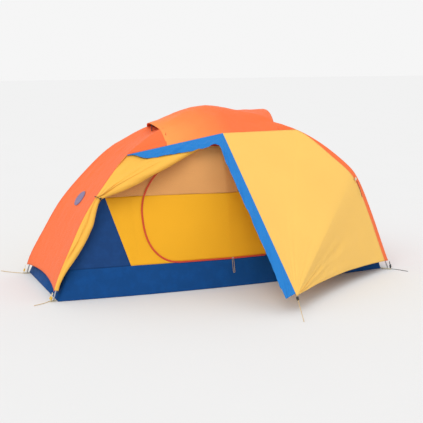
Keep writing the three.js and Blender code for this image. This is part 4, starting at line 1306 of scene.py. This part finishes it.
class TENT_OT_inner_walls(bpy.types.Operator):
    """Hang the inner tent's solid and netting walls and its roof"""

    bl_idname = "tent.inner_walls"
    bl_label = "Inner walls"

    def execute(self, context):
        size = shape()
        base, top = size.tub_height, size.wall_height
        amber, net = ("amber", "inner_amber"), ("netting", "mesh_tan")
        wall_sheet("corner_wall", -1, base, top, foot, corner_panel_x, "dark_navy", "corner_navy",
                   ("inner_corner_panel",), columns=30)
        wall_sheet("front_wall_foot_side", -1, base, top, corner_panel_x, door_edge_x, *amber,
                   ("inner_front_foot_side",), columns=24, seed=3)
        wall_sheet("front_wall_head_side", -1, base, top, hinge, head, *amber,
                   ("inner_front_head_side",), seed=4)
        wall_sheet("back_wall", 1, base, top, foot, head, *amber, ("inner_back_wall",), columns=110, seed=5)
        shoulder = 0.815
        wall_sheet("front_net_foot_side", -1, top, shoulder, roof_foot,
                   net_door_edge, *net,
                   ("mesh_front_foot_side",), columns=30, belly=0.006, seed=6)
        wall_sheet("front_net_head_side", -1, top, DOOR_TOP + 0.02, hinge, roof_head, *net,
                   ("mesh_front_head_side",), belly=0.006, seed=7)
        wall_sheet("back_net", 1, top, shoulder + 0.025, roof_foot, roof_head, *net, ("mesh_back_wall",),
                   columns=90, belly=0.006, seed=8)
        self.end_wall("foot")
        self.end_wall("head")
        self.roof()
        return {"FINISHED"}

    def end_wall(self, name):
        z = rows_between(shape().tub_height, shape().wall_height, 40)
        x = Tent.wall_end(name, z)
        half = floor_edge(x) - Tent.lean(x) * z
        j = np.linspace(-1, 1, 50)[None, :]
        points = np.stack([x + 0 * j, half * j, z + 0 * j], -1)
        points = ruffle(points, 0.002, 61, (6, 9))
        cloth(f"{name}_wall", points, "amber", (f"inner_{name}_wall",))

    def roof(self):
        halves = []
        for name in ("foot", "head"):
            leg = Tent.inner[name]
            start = leg.share_at_z(shape().wall_height)
            u = np.linspace(start, 1, 70)[:, None]
            halves.append(top_point(leg, u, np.linspace(-1, 1, 61)[None, :], 0.008))
        points = np.concatenate([halves[0], halves[1][::-1][1:]])
        cloth("netting_roof", points, "netting", ("inner_canopy",))


class TENT_OT_inner_door(bpy.types.Operator):
    """Make the D-shaped inner door with its zip"""

    bl_idname = "tent.inner_door"
    bl_label = "Inner door"

    def execute(self, context):
        size = shape()
        wall_sheet("door_lower", -1, wall_base(), size.wall_height, door_edge_x, hinge, "amber", "inner_amber",
                   ("inner_door_lower",), "inner_door", seed=12)
        wall_sheet("door_net", -1, size.wall_height, DOOR_TOP, door_edge_x, hinge, "netting", "mesh_tan",
                   ("inner_door_mesh",), "inner_door", belly=0.006, seed=13)
        path = self.zip_path()
        across = self.path_side(path)
        rise = np.array([0, -1.0, 0])
        strip("zip_tape_on_wall", path + across * 0.0029, across, 0.005, "zip_tape", rise=rise)
        strip("zip_tape_on_door", path - across * 0.0029, across, 0.005, "zip_tape",
              body="inner_door", rise=rise)
        face = (0.0, -0.97, 0.25)
        teeth = path + across * 0.0008 + np.array([0, -0.0016, 0])
        repeated("zip_teeth_on_wall", teeth, (0.0012, 0.0022, 0.0012), 0.0025, "zip_teeth",
                 face=face)
        return {"FINISHED"}

    def zip_path(self):
        """From the hinge's foot along the sill, round the D and over its top to the hinge's head."""
        z = np.linspace(wall_base(), DOOR_TOP, 160)
        x = door_edge_x(z)
        sill_x = np.linspace(DOOR_HINGE - 0.01, x[0], 70)[:-1]
        top_x = np.linspace(x[-1], DOOR_HINGE - 0.01, 50)[1:]
        xs = np.concatenate([sill_x, x, top_x])
        zs = np.concatenate([np.full_like(sill_x, wall_base()), z, np.full_like(top_x, DOOR_TOP)])
        return resample(Tent.wall(-1, xs, zs, 0.004), 420)

    def path_side(self, path):
        along = np.gradient(path, axis=0)
        along = unit(along)
        side = np.cross(along, np.array([0, -1.0, 0]))
        side = unit(side)
        centre = np.array([-0.1, -0.35, 0.5])
        sign = np.sign(((path - centre) * side).sum(-1, keepdims=True))
        return side * np.sign(np.median(sign))


class TENT_OT_bathtub(bpy.types.Operator):
    """Shape the bathtub floor"""

    bl_idname = "tent.bathtub"
    bl_label = "Bathtub floor"

    def execute(self, context):
        walls = np.array([self.outline(z) for z in (0.0, 0.012, 0.05, 0.09, 0.13, shape().tub_height)])
        walls = np.concatenate([walls, walls[:, :1]], axis=1)
        dense = []
        for share in np.linspace(0, len(walls) - 1, 26):
            i = min(int(share), len(walls) - 2)
            dense.append(walls[i] + (walls[i + 1] - walls[i]) * (share - i))
        walls = np.array(dense)
        normal, _ = outward(walls, (0, 0, 0.08))
        lengths = run_lengths(walls, 1)
        height = np.linspace(0, 1, len(walls))[:, None]
        wave = smooth_noise(lengths * 7, height * 2.2 + 0 * lengths, 71) * 0.0035
        wave += smooth_noise(lengths * 22, height * 5 + 0 * lengths, 73) * 0.0012
        wave *= np.sin(np.pi * np.clip(height, 0.02, 0.98))
        wave[:, -1] = wave[:, 0]
        walls = walls + normal * wave[..., None]
        cloth("bathtub", walls, "navy", ("bathtub_floor",), inside=(0, 0, 0.08))
        ring = self.outline(0.0)
        count = len(ring) // 2
        front, back = ring[:count], ring[count:][::-1]
        w = np.linspace(0, 1, 40)[None, :, None]
        floor = front[:, None] + (back - front)[:, None] * w
        floor[..., 2] = 0.0012
        cloth("floor_sheet", floor, "navy", (), inside=(0, 0, 0.5))
        return {"FINISHED"}

    def outline(self, z):
        tub = shape().tub_height
        half = shape().floor_length / 2
        foot = -half + (half + Tent.wall_end("foot", tub)) * (z / tub)
        head = half - (half - Tent.wall_end("head", tub)) * (z / tub)
        x = np.linspace(foot, head, 120)
        y = floor_edge(x) - Tent.lean(x) * z
        front = np.stack([x, -y, np.full_like(x, z)], -1)
        return np.concatenate([front, front[::-1] * np.array([1, -1, 1])])


class TENT_OT_poles(bpy.types.Operator):
    """Finish the poles, hub and clips"""

    bl_idname = "tent.poles"
    bl_label = "Poles"

    def execute(self, context):
        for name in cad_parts:
            if name.startswith("pole_") and name != "pole_hub" or name == "brow_pole":
                softened(name, "alloy", "tent", 0.0003)
            elif name == "pole_hub" or name.startswith("clip_"):
                softened(name, "black", "tent", 0.0005)
        return {"FINISHED"}


class TENT_OT_corners(bpy.types.Operator):
    """Finish the corner webbing, straps, buckles and eyelets"""

    bl_idname = "tent.corners"
    bl_label = "Corners"

    def execute(self, context):
        for end in ("foot", "head"):
            for side in ("front", "back"):
                corner = f"{side}_{end}"
                softened(f"corner_webbing_{corner}", "webbing", "tent", 0.0004)
                strap, buckle = ("webbing", "buckle") if end == "foot" else ("dark_webbing", "black")
                softened(f"fly_strap_{corner}", strap, "tent", 0.0003)
                softened(f"corner_buckle_{corner}", buckle, f"buckle_{corner}", 0.0008)
        return {"FINISHED"}


class TENT_OT_hardware(bpy.types.Operator):
    """Finish the sliders, toggle, tie loop, vent props, cord lock and guy tab"""

    bl_idname = "tent.hardware"
    bl_label = "Hardware"

    def execute(self, context):
        rows = [
            ("inner_zip_slider", "alloy", "inner_zip", 0.0008), ("fly_zip_slider", "alloy", "fly_zip", 0.0006),
            ("door_toggle", "black", "toggle", 0.0010), ("door_tie_loop", "dark_cord", "tent", 0.0001),
            ("vent_prop_foot", "black", "foot_prop", 0.0006), ("vent_prop_head", "black", "head_prop", 0.0006),
            ("vestibule_cord_lock", "black", "cord_lock", 0.0012),
            ("guy_tab_front_head", "webbing", "tent", 0.0003)]
        for node, finish, body, bevel in rows:
            softened(node, finish, body, bevel)
        return {"FINISHED"}


FLOOR_LEVEL = -0.0015
# Each light: where it comes from, its strength and its width in degrees.
LIGHTS = {"key": ((-0.75, -0.65, 1.0), 1.05, 40), "fill": ((0.9, -0.35, 0.8), 0.12, 80)}


class TENT_OT_stage(bpy.types.Operator):
    """Lay the studio floor and set the lights"""

    bl_idname = "tent.stage"
    bl_label = "Stage"

    def execute(self, context):
        mesh = bpy.data.meshes.new("studio_floor")
        reach = 40.0
        corners = [(-reach, -reach), (reach, -reach), (reach, reach), (-reach, reach)]
        mesh.from_pydata([(x, y, FLOOR_LEVEL) for x, y in corners], [], [(0, 1, 2, 3)])
        mesh.materials.append(plain_floor())
        floor = link(bpy.data.objects.new("studio_floor", mesh))
        world = bpy.data.worlds.new("studio")
        context.scene.world = world
        world.use_nodes = True
        background = world.node_tree.nodes["Background"]
        background.inputs["Color"].default_value = (0.92, 0.92, 0.92, 1)
        background.inputs["Strength"].default_value = 1.0
        context.scene.view_settings.view_transform = "Standard"
        for name, (towards, strength, spread) in LIGHTS.items():
            self.light(name, towards, strength, spread)
        return {"FINISHED"}

    def light(self, name, towards, strength, spread):
        data = bpy.data.lights.new(name, "SUN")
        data.energy = strength
        data.angle = math.radians(spread)
        lamp = link(bpy.data.objects.new(name, data))
        lamp.location = Vector(towards) * 5
        lamp.rotation_euler = Vector(towards).to_track_quat("Z", "Y").to_euler()


class TENT_PT_build(bpy.types.Panel):
    """Buttons that build the tent piece by piece"""

    bl_label = "One-person tent"
    bl_idname = "TENT_PT_build"
    bl_space_type = "VIEW_3D"
    bl_region_type = "UI"
    bl_category = "Tent"

    def draw(self, context):
        for operator in OPERATORS:
            self.layout.operator(operator.bl_idname)
        for settings in (context.scene.tent_shape, context.scene.tent_colours):
            for name in settings.bl_rna.properties.keys():
                if name not in {"rna_type", "name"}:
                    self.layout.prop(settings, name)


OPERATORS = (
    TENT_OT_camera, TENT_OT_cords, TENT_OT_canopy, TENT_OT_side_panels, TENT_OT_stitches,
    TENT_OT_storm_flap, TENT_OT_door_roll, TENT_OT_inner_walls, TENT_OT_inner_door, TENT_OT_bathtub,
    TENT_OT_poles, TENT_OT_corners, TENT_OT_hardware, TENT_OT_stage)
CLASSES = (TentShape, TentColours, *OPERATORS, TENT_PT_build)


def register():
    for made in CLASSES:
        bpy.utils.register_class(made)
    bpy.types.Scene.tent_shape = bpy.props.PointerProperty(type=TentShape)
    bpy.types.Scene.tent_colours = bpy.props.PointerProperty(type=TentColours)


def unregister():
    del bpy.types.Scene.tent_colours
    del bpy.types.Scene.tent_shape
    for made in reversed(CLASSES):
        bpy.utils.unregister_class(made)


def main():
    register()
    Tent.prepare()
    for operator in OPERATORS:
        group, name = operator.bl_idname.split(".")
        getattr(getattr(bpy.ops, group), name)()


if __name__ == "__main__":
    main()
